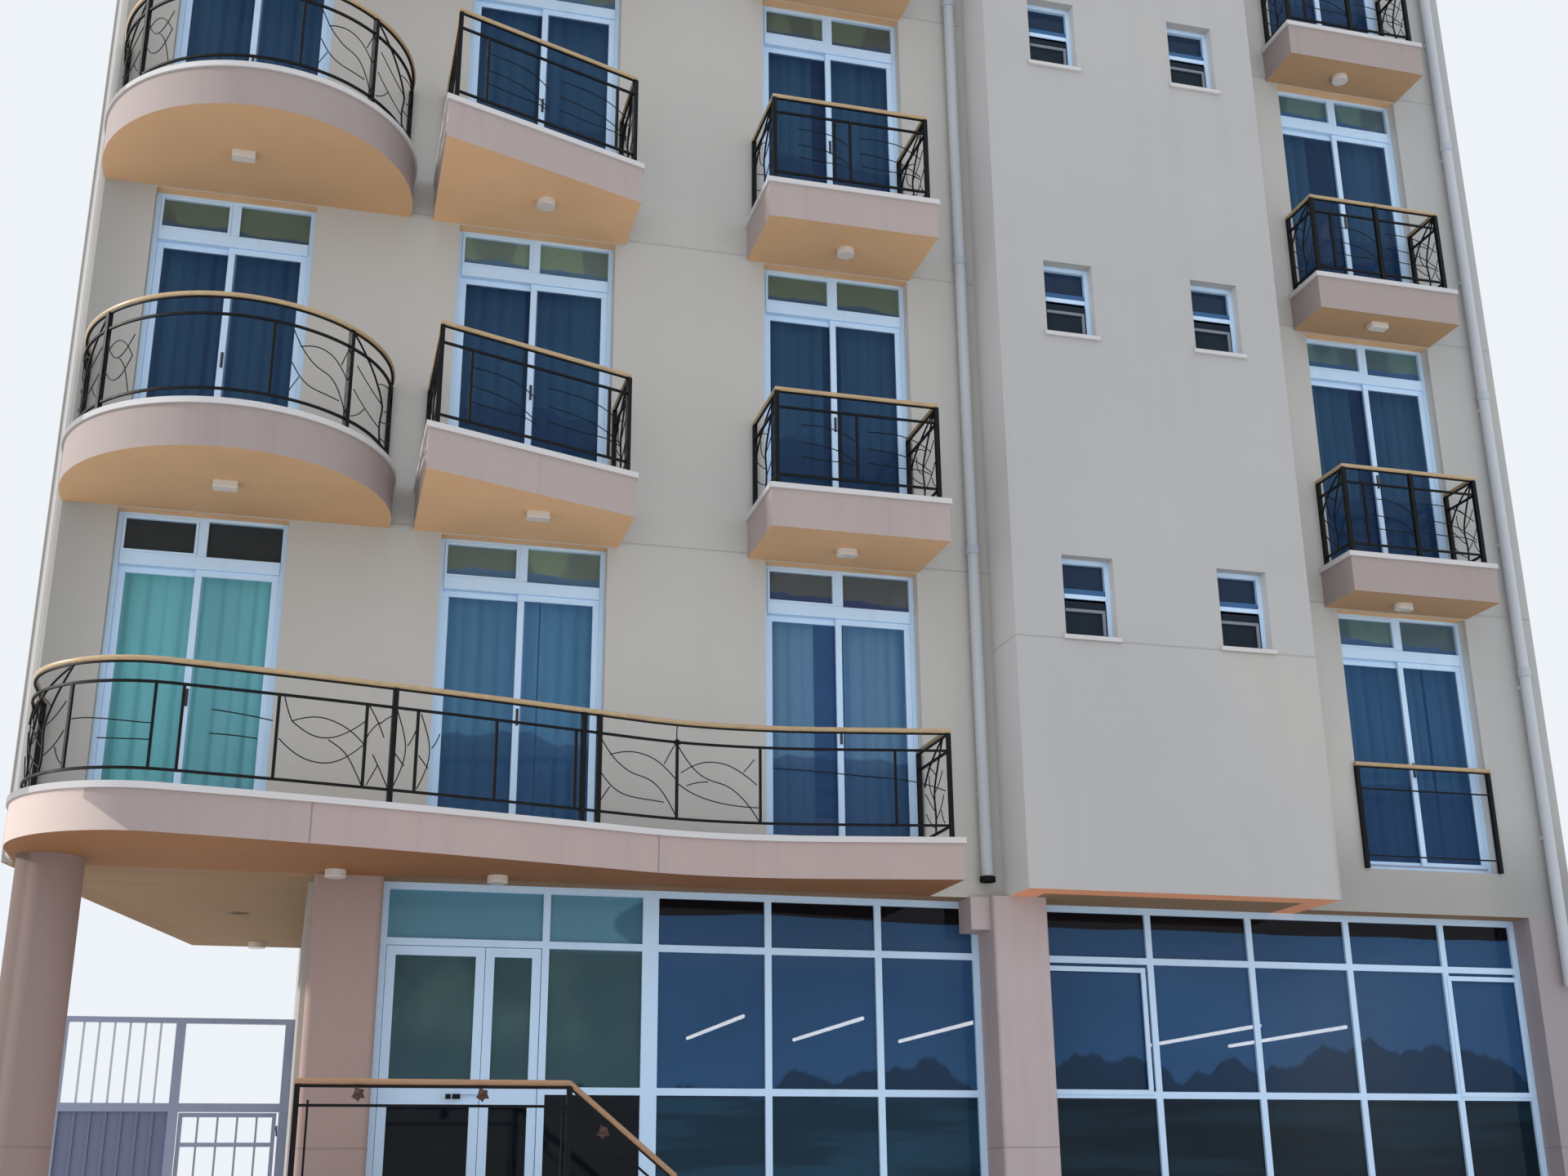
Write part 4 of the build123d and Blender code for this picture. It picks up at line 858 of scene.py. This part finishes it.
class HotelCurtains(bpy.types.PropertyGroup):
    """Sizes of the curtains."""

    drop: FloatProperty(name="Drop", description="Height of a hung curtain", unit="LENGTH", default=2.2)
    fold: FloatProperty(name="Fold", description="Depth of the folds", unit="LENGTH", default=0.046)
    pitch: FloatProperty(name="Pitch", description="Width of one fold", unit="LENGTH", default=0.14)


def hung_curtain(name, x0, x1, floor, seed, cloth):
    """One curtain in folds behind a door: a grid whose columns go out and back, wider towards the floor."""
    sizes = bpy.context.scene.hotel_curtains
    width = x1 - x0
    folds = round(width / sizes.pitch)
    mesh = bmesh.new()
    bmesh.ops.create_grid(mesh, x_segments=folds * FOLD_COLUMNS, y_segments=CURTAIN_ROWS, size=0.5)
    foot = floor + CURTAIN_FOOT
    for vertex in mesh.verts:
        across = vertex.co.x + 0.5
        up = vertex.co.y + 0.5
        phase = 2 * math.pi * folds * across
        wander = 0.6 * math.sin(phase * 0.31 + seed) + 0.35 * math.sin(phase * 0.13 + seed * 2.1)
        depth = sizes.fold / 2 * (0.75 + 0.25 * math.sin(phase * 0.23 + seed)) * (1.0 - 0.35 * up)
        y = CURTAIN_LINE + depth * math.sin(phase + wander)
        vertex.co = at(x0 + width * across, y, foot + sizes.drop * up)
    hem = sorted((v.co for v in mesh.verts if v.co.z < foot + 0.001), key=lambda place: place.x)
    hem_length = sum((b - a).length for a, b in zip(hem, hem[1:]))
    for face in mesh.faces:
        face.smooth = True
    bmesh.ops.recalc_face_normals(mesh, faces=mesh.faces)
    curtain = place_piece(name, mesh, cloth)
    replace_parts(curtain, "curtains")


class HOTEL_OT_curtains(bpy.types.Operator):
    """Hangs two folded curtains on a rail behind each balcony door"""

    bl_idname = "hotel.curtains"
    bl_label = "Curtains"

    def execute(self, context):
        rail_height = CURTAIN_FOOT + context.scene.hotel_curtains.drop
        runs = []
        for x, width in DOORS:
            for floor in FLOORS:
                ends = (x - RAIL_LAP, x + width + RAIL_LAP)
                runs.append([at(end, CURTAIN_LINE, floor + rail_height) for end in ends])
        rods("curtain_rails", runs, 0.012, powder_coat("rail_paint", linear(210, 210, 210)))
        cloths = {
            (0, 0): woven_cloth("teal_cloth", linear(164, 232, 240)),
            (1, 0): woven_cloth("green_blue_cloth", linear(120, 186, 196)),
            (2, 0): woven_cloth("grey_blue_cloth", linear(158, 204, 212)),
            (3, 0): woven_cloth("mid_blue_cloth", linear(80, 128, 156)),
        }
        blue = woven_cloth("blue_cloth", linear(66, 110, 134))
        gaps = {
            (0, 0): (0.5, 0.502), (1, 0): (0.62, 0.63), (2, 0): (0.36, 0.56), (3, 0): (0.72, 0.74),
            (2, 1): (0.45, 0.58), (2, 2): (0.4, 0.55), (3, 2): (0.3, 0.5), (3, 1): (0.42, 0.6),
        }
        for column, (x, width) in enumerate(DOORS):
            for storey, floor in enumerate(FLOORS):
                cloth = cloths.get((column, storey), blue)
                name = "curtain_%d_%d" % (column + 1, storey + 1)
                start, end = gaps.get((column, storey), (0.46, 0.52))
                seed = column * 3.1 + storey
                left, right = x - CURTAIN_LAP, x + width + CURTAIN_LAP
                hung_curtain(name + "_left", left, x + width * start, floor, seed, cloth)
                hung_curtain(name + "_right", x + width * end, right, floor, seed + 1.7, cloth)
        return {"FINISHED"}


class HotelIronwork(bpy.types.PropertyGroup):
    """Sizes of the forged ornaments."""

    wave: FloatProperty(name="Wave", description="Radius of the wavy rods", unit="LENGTH", default=0.0048)
    trunk: FloatProperty(name="Trunk", description="Radius of the tree-like rods", unit="LENGTH",
                         default=0.009)
    knob: FloatProperty(name="Knob", description="Radius of a forged knob", unit="LENGTH", default=0.022)


# Ornament runs: shares of a panel's length and of the height between its lower and middle bars
FALLING_WAVES = [
    [(0.0, 0.76), (0.3, 0.77), (0.62, 0.75), (0.8, 0.68), (1.0, 0.55)],
    [(0.0, 0.5), (0.3, 0.49), (0.6, 0.45), (0.8, 0.38), (1.0, 0.24)],
    [(0.0, 0.29), (0.35, 0.26), (0.65, 0.26), (0.85, 0.27), (1.0, 0.2)],
]
LENS_WAVES = [
    [(0.01, 0.96), (0.14, 0.74), (0.3, 0.6), (0.45, 0.52), (0.62, 0.5), (0.78, 0.4), (0.9, 0.22),
     (1.0, 0.02)],
    [(0.14, 0.74), (0.34, 0.82), (0.58, 0.82), (0.8, 0.72), (0.98, 0.52)],
    [(0.03, 0.5), (0.15, 0.33), (0.34, 0.21), (0.6, 0.22), (0.84, 0.2)],
    [(0.0, 0.08), (0.08, 0.22), (0.15, 0.33)],
    [(0.84, 0.7), (0.92, 0.88), (0.99, 1.0)],
]
MIRRORED_WAVES = [
    [(0.0, 0.97), (0.16, 0.68), (0.36, 0.52), (0.58, 0.5), (0.76, 0.36), (0.9, 0.18), (0.99, 0.01)],
    [(0.05, 0.6), (0.24, 0.76), (0.48, 0.8), (0.72, 0.72), (0.96, 0.5)],
    [(0.01, 0.46), (0.2, 0.3), (0.5, 0.2), (0.98, 0.2)],
    [(0.12, 0.44), (0.24, 0.5), (0.38, 0.51)],
    [(0.8, 0.66), (0.88, 0.76), (0.93, 0.84)],
]
LENS_PAIR = [
    [(0.06, 0.98), (0.1, 0.82), (0.16, 0.7)],
    [(0.16, 0.7), (0.37, 0.8), (0.62, 0.78), (0.86, 0.65), (1.0, 0.5)],
    [(0.16, 0.7), (0.36, 0.54), (0.58, 0.51), (0.8, 0.62), (1.0, 0.8)],
    [(0.03, 0.48), (0.22, 0.29), (0.48, 0.22), (0.7, 0.26), (0.86, 0.38), (1.0, 0.52)],
    [(0.58, 0.52), (0.74, 0.44), (0.84, 0.32), (0.92, 0.16), (0.99, 0.02)],
]
SPIKES = [
    [(0.08, 0.98), (0.45, 0.8), (0.66, 0.62)],
    [(0.5, 0.78), (0.72, 0.86), (0.96, 0.9)],
    [(0.5, 0.8), (0.2, 0.72), (0.05, 0.6)],
    [(0.3, 0.4), (0.58, 0.24), (0.9, 0.02)],
    [(0.5, 0.28), (0.3, 0.14), (0.14, 0.03)],
]
LEAF = [
    [(0.12, 0.96), (0.4, 0.74), (0.62, 0.55), (0.5, 0.3), (0.1, 0.04)],
    [(0.1, 0.45), (0.35, 0.36), (0.52, 0.3)],
    [(0.62, 0.55), (0.8, 0.62), (0.92, 0.74)],
]
TREE_TRUNK = [
    [(0.5, 0.0), (0.42, 0.25), (0.58, 0.5), (0.38, 0.78), (0.2, 1.02), (0.04, 1.2)],
    [(0.02, 1.22), (0.4, 1.1), (0.78, 0.95), (0.97, 0.72)],
]
TREE_BRANCHES = [
    [(0.47, 0.3), (0.72, 0.42), (0.86, 0.58), (0.96, 0.62)],
    [(0.56, 0.5), (0.78, 0.66), (0.72, 0.84)],
    [(0.52, 0.55), (0.28, 0.6), (0.08, 0.8)],
    [(0.45, 0.2), (0.2, 0.28), (0.06, 0.46)],
    [(0.49, 0.08), (0.74, 0.16), (0.94, 0.34)],
    [(0.4, 0.78), (0.58, 0.92), (0.8, 0.96)],
    [(0.2, 0.28), (0.14, 0.14), (0.05, 0.08)],
]

# Panels of the long railing with their ornaments, and the ends of its trees, in shares of its length
KNOT = 0.6645
LONG_PANELS = [
    (0.589, KNOT, LENS_WAVES),
    (KNOT, 0.742, MIRRORED_WAVES),
    (0.3105, 0.382, LENS_PAIR),
    (0.382, 0.405, SPIKES),
    (0.405, 0.425, LEAF),
    (0.425, 0.446, LEAF),
    (0.742, 0.912, [[(0.07, 0.73), (0.3, 0.71), (0.5, 0.65), (0.72, 0.62), (0.88, 0.57), (1.0, 0.46)]]),
    (0.237, 0.3105, [[(0.3, 0.74), (0.6, 0.73), (0.95, 0.68)], [(0.3, 0.46), (0.6, 0.47), (0.8, 0.45)]]),
    (0.148, 0.216, [[(0.04, 0.58), (0.3, 0.6), (0.55, 0.54), (1.0, 0.52)], [(0.4, 0.34), (1.0, 0.33)]]),
]
LONG_TREES = [(0.93, 0.985), (0.02, 0.075), (0.148, 0.09)]

# Straight-sided balconies of the upper floors: left end, right end, and how far each end reaches out
STRAIGHT_BALCONIES = [(2.99, 4.82, 1.46, 0.79), (6.02, 7.69, 0.88, 0.88), (12.01, 13.66, 0.55, 0.55)]


def panel_runs(line, start, end, base, runs):
    """Places ornament runs in the panel between two shares of a railing's length."""
    low = base + LOW_BAR
    high = base + MID_BAR
    first = line.length * start
    span = line.length * (end - start)
    return [[line.at(first + span * u, low + (high - low) * v) for u, v in run] for run in runs]


def add_knob(mesh, place, radius):
    """A forged rosette: a small ball with a ring of spikes."""
    made = bmesh.ops.create_icosphere(mesh, subdivisions=2, radius=radius, matrix=Matrix.Translation(place))
    for n, vertex in enumerate(made["verts"]):
        if n % 3 == 0:
            vertex.co = place + (vertex.co - place) * 1.6


class HOTEL_OT_railing_ornaments(bpy.types.Operator):
    """Forges the wavy rods, leaves, trees and knobs of the balcony railings"""

    bl_idname = "hotel.railing_ornaments"
    bl_label = "Railing ornaments"

    def execute(self, context):
        sizes = context.scene.hotel_ironwork
        iron = iron_paint("forged_iron")
        waves, trees, knobs = [], [], bmesh.new()
        self.long_railing(FLOORS[0] + COPING_TOP, waves, trees, knobs, sizes.knob)
        for floor in FLOORS[1:]:
            self.upper_railings(floor + COPING_TOP, waves, trees)
        rods("railing_waves", waves, sizes.wave, iron, sides=1)
        rods("railing_trees", trees, sizes.trunk, iron)
        place_piece("railing_knobs", knobs, iron)
        return {"FINISHED"}

    def long_railing(self, base, waves, trees, knobs, radius):
        """Ornaments of the first floor's railing, with a knob where two panels meet."""
        line = long_line()
        for start, end, runs in LONG_PANELS:
            waves += panel_runs(line, start, end, base, runs)
        for start, end in LONG_TREES:
            self.tree(line, start, end, base, waves, trees, TREE_TRUNK)
        knot = line.length * KNOT
        add_knob(knobs, line.at(knot, base + MID_BAR), radius)
        stem = ((0.0, MID_BAR), (-0.01, 0.86), (0.0, 0.93))
        waves.append([line.at(knot + along, base + up) for along, up in stem])

    def upper_railings(self, base, waves, trees):
        """Ornaments of the four balconies of one upper floor."""
        line = round_line()
        waves += panel_runs(line, 0.6, 0.73, base, LENS_WAVES)
        waves += panel_runs(line, 0.22, 0.3, base, LENS_PAIR)
        for start, end in ((0.73, 0.985), (0.22, 0.04)):
            self.tree(line, start, end, base, waves, trees, TREE_TRUNK[:1])
        for ends in STRAIGHT_BALCONIES:
            line = four_point_line(*ends)
            first, second = line.marks[1] / line.length, line.marks[2] / line.length
            middle = (first + second) / 2
            waves += panel_runs(line, first + (middle - first) * 0.3, middle, base, FALLING_WAVES)
            waves += panel_runs(line, middle + (second - middle) * 0.12, second - 0.02, base, FALLING_WAVES)
            for start, end in ((second + 0.01, 0.985), (first - 0.01, 0.015)):
                self.tree(line, start, end, base, waves, trees, TREE_TRUNK)

    def tree(self, line, start, end, base, waves, trees, trunk):
        """A thick forged trunk with thin branches in one panel."""
        trees += panel_runs(line, start, end, base, trunk)
        waves += panel_runs(line, start, end, base, TREE_BRANCHES)


class HOTEL_OT_bath_sashes(bpy.types.Operator):
    """Adds the meeting rails and the part-open lower sashes of the bay's small windows, with dark sheets as
    painted shade in their gaps
    """

    bl_idname = "hotel.bath_sashes"
    bl_label = "Bath window sashes"

    def execute(self, context):
        bars, rails, gaps, strips = bmesh.new(), bmesh.new(), bmesh.new(), bmesh.new()
        face = -BAY_OUT
        bar, rail, glass = (face + 0.098, face + 0.118), (face + 0.088, face + 0.106), face + 0.11
        for x in (BAY_LEFT + 0.5, BAY_RIGHT - 0.97):
            left, right = x + 0.05, x + 0.47
            for floor in FLOORS:
                low, high = floor + BATH_SILL, floor + BATH_HEAD
                middle = (low + high) / 2
                top = middle + BATH_BAR
                add_block(bars, left, right, *bar, middle, top, EDGE)
                add_block(strips, left, right, glass, face + 0.117, top, middle + 0.1)
                add_block(gaps, left, right, glass, face + 0.116, low, middle)
                add_block(rails, left, right - 0.05, *rail, middle - 0.13, middle - 0.1, FINE_EDGE)
                add_block(rails, right - 0.05, right - 0.02, *rail, low, middle - 0.1, FINE_EDGE)
        paint = powder_coat("bath_bar", context.scene.hotel_colours.frames)
        place_piece("bath_meeting_rails", bars, paint)
        blue = tinted_glass("lower_edge", linear(62, 104, 148), 0.9)
        place_piece("bath_lower_edges", strips, blue)
        frames = powder_coat("sash_rail", linear(120, 126, 138))
        place_piece("bath_sash_rails", rails, frames)
        # Dark sheets behind the open lower sashes: painted shade of the room within
        dark = Paint("open_gap_painted_shade", Roughness=0.6, Specular_IOR_Level=0.1)
        dark.tone = dark.mix(dark.noise(5.0), linear(24, 33, 42), linear(38, 50, 60))
        place_piece("bath_sash_gap_shade", gaps, dark.done())
        return {"FINISHED"}


class HOTEL_OT_door_gear(bpy.types.Operator):
    """Adds pulls and tracks to the sliding sashes, and opening frames in the shop glazing"""

    bl_idname = "hotel.door_gear"
    bl_label = "Sash and shopfront gear"

    def execute(self, context):
        pulls, tracks, frames = bmesh.new(), bmesh.new(), bmesh.new()
        pull, track, casement = (0.108, 0.118), (DOOR_FACE + 0.002, DOOR_FACE + 0.007), (0.24, 0.262)
        half_pull, pull_foot, pull_top, track_top = 0.012, 0.95, 1.1, 0.065
        for x, width in DOORS:
            left, right = x + width / 2 - half_pull, x + width / 2 + half_pull
            start, end = x + DOOR_BAR, x + width - DOOR_BAR
            for floor in FLOORS:
                add_block(pulls, left, right, *pull, floor + pull_foot, floor + pull_top, FINE_EDGE)
                add_block(tracks, start, end, *track, floor + DOOR_BAR, floor + track_top)
        black = powder_coat("pull_black", linear(30, 32, 38), 0.3)
        place_piece("sash_pulls", pulls, black)
        alloy = powder_coat("track_alloy", linear(150, 160, 180), 0.3)
        place_piece("sash_tracks", tracks, alloy)
        for x0, x1 in ((8.78, 9.86), (13.055, 13.86)):
            add_ring(frames, x0, x1, *casement, CASEMENT_SILL, CASEMENT_HEAD, CASEMENT_BAR, FINE_EDGE)
        paint = powder_coat("casement_frame", context.scene.hotel_colours.frames)
        place_piece("shop_casements", frames, paint)
        return {"FINISHED"}


class HOTEL_OT_entrance_ornaments(bpy.types.Operator):
    """Adds rosettes and inner uprights to the entrance railing, and a latch to the wide leaf"""

    bl_idname = "hotel.entrance_ornaments"
    bl_label = "Entrance ornaments"

    def execute(self, context):
        railing, low, high = -1.31, 0.92, 1.72
        latch_foot, latch_top, latch_depth = 1.81, 1.85, 0.012
        rosettes = bmesh.new()
        for x, z in ((2.79, 1.765), (3.68, 1.765), (4.58, 1.505)):
            add_knob(rosettes, at(x, railing, z), radius=0.036)
        brown = iron_paint("rosette_brown", linear(84, 62, 54))
        place_piece("entrance_rosettes", rosettes, brown)
        inner = [[at(x, railing, low), at(x, railing, high)] for x in (2.44, 4.27)]
        rods("entrance_inner_uprights", inner, 0.008, iron_paint("entrance_iron"))
        latch = bmesh.new()
        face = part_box("wide_door_leaf")[0].y - FACE
        for x0, x1 in ((3.54, 3.585), (3.595, 3.66)):
            add_block(latch, x0, x1, face - latch_depth, face, latch_foot, latch_top, EDGE)
        place_piece("door_latch", latch, iron_paint("latch_black"), "wide_door")
        return {"FINISHED"}


class HOTEL_OT_corner_bead(bpy.types.Operator):
    """Adds the eased render bead down the front's left corner, painted lighter as a sunlit strip"""

    bl_idname = "hotel.corner_bead"
    bl_label = "Corner bead"

    def execute(self, context):
        bead = bmesh.new()
        proud, reach = -0.012, 0.13
        add_block(bead, proud, reach, proud, reach, SOFFIT, WALL_TOP, bevel=0.06)
        # The bead's render is 1.75 times lighter: painted sunlight on the corner, also making up for the
        # render's painted shade there
        paint = wall_render("bead_painted_sunlight", shade(context.scene.hotel_colours.walls, 1.75))
        place_piece("corner_bead", bead, paint)
        return {"FINISHED"}


class HOTEL_OT_pipe_collars(bpy.types.Operator):
    """Adds sockets and a dark end ring to the downpipes"""

    bl_idname = "hotel.pipe_collars"
    bl_label = "Pipe collars"

    def execute(self, context):
        left_pipe, right_pipe = 8.215, 14.19
        collars, ends = bmesh.new(), bmesh.new()
        for x, end in ((left_pipe, 3.71), (right_pipe, 2.9)):
            z = end + STOREY
            while z < WALL_TOP - 0.3:
                self.ring(collars, x, z, radius=0.064, height=0.09)
                z += STOREY
        grey = powder_coat("collar_paint", linear(178, 184, 194), 0.5)
        place_piece("pipe_collars", collars, grey)
        self.ring(ends, left_pipe, 3.69, radius=0.072, height=0.05)
        place_piece("pipe_end_ring", ends, iron_paint("dark_rubber"))
        return {"FINISHED"}

    def ring(self, mesh, x, z, radius, height):
        """A round band about a pipe: a wall profile spun about the pipe's middle."""
        pipe_line, wall = -0.08, 0.012
        centre = at(x, pipe_line, z)
        inner = radius - wall
        eased = radius - FINE_EDGE
        profile = [(inner, 0.0), (eased, 0.0), (radius, FINE_EDGE), (radius, height - FINE_EDGE),
                   (eased, height), (inner, height)]
        points = [mesh.verts.new(centre + Vector((r, 0.0, up))) for r, up in profile]
        edges = [mesh.edges.new(pair) for pair in zip(points, points[1:] + points[:1])]
        bmesh.ops.spin(mesh, geom=points + edges, cent=centre, axis=(0, 0, 1), angle=2 * math.pi, steps=32,
                       use_merge=True)
        bmesh.ops.recalc_face_normals(mesh, faces=mesh.faces)


class HOTEL_OT_shop_lamps(bpy.types.Operator):
    """Hangs tube lamps in the ground storey, seen through its glass"""

    bl_idname = "hotel.shop_lamps"
    bl_label = "Shop lamps"

    def execute(self, context):
        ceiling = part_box("first_floor_slab")[0].z
        tubes, hangers = [], []
        for x in (6.65, 7.9, 9.18, 12.4, 13.45):
            tubes.append([at(x, y, LAMP_LEVEL) for y in (2.7, 5.3)])
            hangers += [[at(x, y, LAMP_LEVEL + 0.01), at(x, y, ceiling)] for y in (2.9, 5.1)]
        glow = Paint("lit_tube", Roughness=0.4, Emission_Strength=24.0)
        glow.set("Emission Color", glow.mix(glow.noise(6.0), (0.9, 0.95, 1.0, 1.0), (1.0, 1.0, 1.0, 1.0)))
        rods("shop_tubes", tubes, 0.02, glow.material)
        grey = powder_coat("hanger_grey", linear(90, 94, 100))
        rods("shop_tube_hangers", hangers, 0.005, grey)
        return {"FINISHED"}


class HotelStage(bpy.types.PropertyGroup):
    """Light, floor and camera."""

    sky: FloatVectorProperty(name="Sky", description="Colour of the soft light", subtype="COLOR", size=4,
                             default=(0.93, 0.975, 1.05, 1.0))
    back: FloatVectorProperty(name="Backdrop", description="Colour seen behind the building", subtype="COLOR",
                              size=4, default=(0.86, 0.90, 0.95, 1.0))
    sky_level: FloatProperty(name="Sky level", description="Strength of the soft light", default=1.0)
    sun_level: FloatProperty(name="Sun level", description="Strength of the side light", default=3.0)
    floor_size: FloatProperty(name="Floor", description="Half the side of the floor", unit="LENGTH",
                              default=60.0)


class HOTEL_OT_stage(bpy.types.Operator):
    """Makes the floor, the lights and the camera at the photograph's viewing angle"""

    bl_idname = "hotel.stage"
    bl_label = "Stage"

    def execute(self, context):
        scene = context.scene
        stage = scene.hotel_stage
        scene.view_settings.view_transform = "Standard"
        self.floor(stage)
        self.world(scene, stage)
        self.sun(scene, stage)
        self.camera(scene)
        return {"FINISHED"}

    def floor(self, stage):
        """A plain pale floor."""
        mesh = bmesh.new()
        bmesh.ops.create_grid(mesh, x_segments=1, y_segments=1, size=stage.floor_size)
        data = bpy.data.meshes.new("floor")
        mesh.to_mesh(data)
        mesh.free()
        floor = bpy.data.objects.new("floor", data)
        bpy.context.scene.collection.objects.link(floor)
        pale = Paint("floor_paint", Roughness=0.9, Specular_IOR_Level=0.1)
        pale.tone = pale.mix(pale.noise(0.3, 2.0), (0.70, 0.69, 0.67, 1.0), (0.74, 0.73, 0.71, 1.0))
        data.materials.append(pale.done())

    def world(self, scene, stage):
        """Soft sky light; the camera, gloss and glass see the backdrop's colour."""
        scene.world = bpy.data.worlds.new("studio")
        scene.world.use_nodes = True
        tree = scene.world.node_tree
        sky = tree.nodes["Background"]
        sky.inputs["Color"].default_value = stage.sky
        sky.inputs["Strength"].default_value = stage.sky_level
        back = tree.nodes.new("ShaderNodeBackground")
        back.inputs["Color"].default_value = stage.back
        path = tree.nodes.new("ShaderNodeLightPath")
        seen = path.outputs["Is Camera Ray"]
        for ray in ("Is Glossy Ray", "Is Transmission Ray"):
            either = tree.nodes.new("ShaderNodeMath")
            either.operation = "MAXIMUM"
            tree.links.new(seen, either.inputs[0])
            tree.links.new(path.outputs[ray], either.inputs[1])
            seen = either.outputs[0]
        blend = tree.nodes.new("ShaderNodeMixShader")
        tree.links.new(seen, blend.inputs[0])
        tree.links.new(sky.outputs[0], blend.inputs[1])
        tree.links.new(back.outputs[0], blend.inputs[2])
        tree.links.new(blend.outputs[0], tree.nodes["World Output"].inputs["Surface"])

    def sun(self, scene, stage):
        """A soft side light from the left, nearly along the facade."""
        light = bpy.data.lights.new("side_light", "SUN")
        light.energy = stage.sun_level
        light.angle = math.radians(3)
        light.color = (1.0, 0.96, 0.9)
        lamp = bpy.data.objects.new("side_light", light)
        toward = Vector((0.92, -0.12, -0.37))
        lamp.rotation_euler = toward.to_track_quat("-Z", "Y").to_euler()
        scene.collection.objects.link(lamp)

    def camera(self, scene):
        """The photograph's viewing angle: low on the left, tilted up."""
        data = bpy.data.cameras.new("camera")
        data.sensor_width = 36.0
        data.lens = 40.899
        data.clip_end = 500.0
        camera = bpy.data.objects.new("camera", data)
        right = Vector((0.964756, -0.263019, -0.008155))
        down = Vector((0.077861, 0.314924, -0.945918))
        forward = Vector((0.251363, 0.911945, 0.324304))
        turn = Matrix((right, -down, -forward)).transposed()
        camera.matrix_world = Matrix.Translation((-4.97365, -18.860943, 1.022547)) @ turn.to_4x4()
        scene.collection.objects.link(camera)
        scene.camera = camera


OPERATORS = (
    HOTEL_OT_wall_finishes, HOTEL_OT_ground_finishes, HOTEL_OT_balcony_finishes, HOTEL_OT_opening_finishes,
    HOTEL_OT_balcony_doors, HOTEL_OT_metalwork_finishes, HOTEL_OT_curtains, HOTEL_OT_railing_ornaments,
    HOTEL_OT_bath_sashes, HOTEL_OT_door_gear, HOTEL_OT_entrance_ornaments, HOTEL_OT_corner_bead,
    HOTEL_OT_pipe_collars, HOTEL_OT_shop_lamps, HOTEL_OT_stage,
)
GROUPS = {
    "hotel_colours": HotelColours, "hotel_curtains": HotelCurtains, "hotel_ironwork": HotelIronwork,
    "hotel_stage": HotelStage,
}


class HOTEL_PT_panel(bpy.types.Panel):
    """Lists the building's operators"""

    bl_idname = "HOTEL_PT_panel"
    bl_label = "Hotel front"
    bl_space_type = "VIEW_3D"
    bl_region_type = "UI"
    bl_category = "Hotel"

    def draw(self, context):
        for operator in OPERATORS:
            self.layout.operator(operator.bl_idname)
        for group in GROUPS:
            settings = getattr(context.scene, group)
            for name in settings.bl_rna.properties.keys():
                if name not in ("rna_type", "name"):
                    self.layout.prop(settings, name)


def register():
    """Adds the classes and the scene's settings."""
    for name, group in GROUPS.items():
        bpy.utils.register_class(group)
        setattr(bpy.types.Scene, name, PointerProperty(type=group))
    for cls in (*OPERATORS, HOTEL_PT_panel):
        bpy.utils.register_class(cls)


def unregister():
    """Takes them out again."""
    for cls in (HOTEL_PT_panel, *reversed(OPERATORS)):
        bpy.utils.unregister_class(cls)
    for name, group in GROUPS.items():
        delattr(bpy.types.Scene, name)
        bpy.utils.unregister_class(group)


def main():
    """Dresses the frame piece by piece."""
    register()
    for operator in OPERATORS:
        group, name = operator.bl_idname.split(".")
        getattr(getattr(bpy.ops, group), name)()


if __name__ == "__main__":
    main()
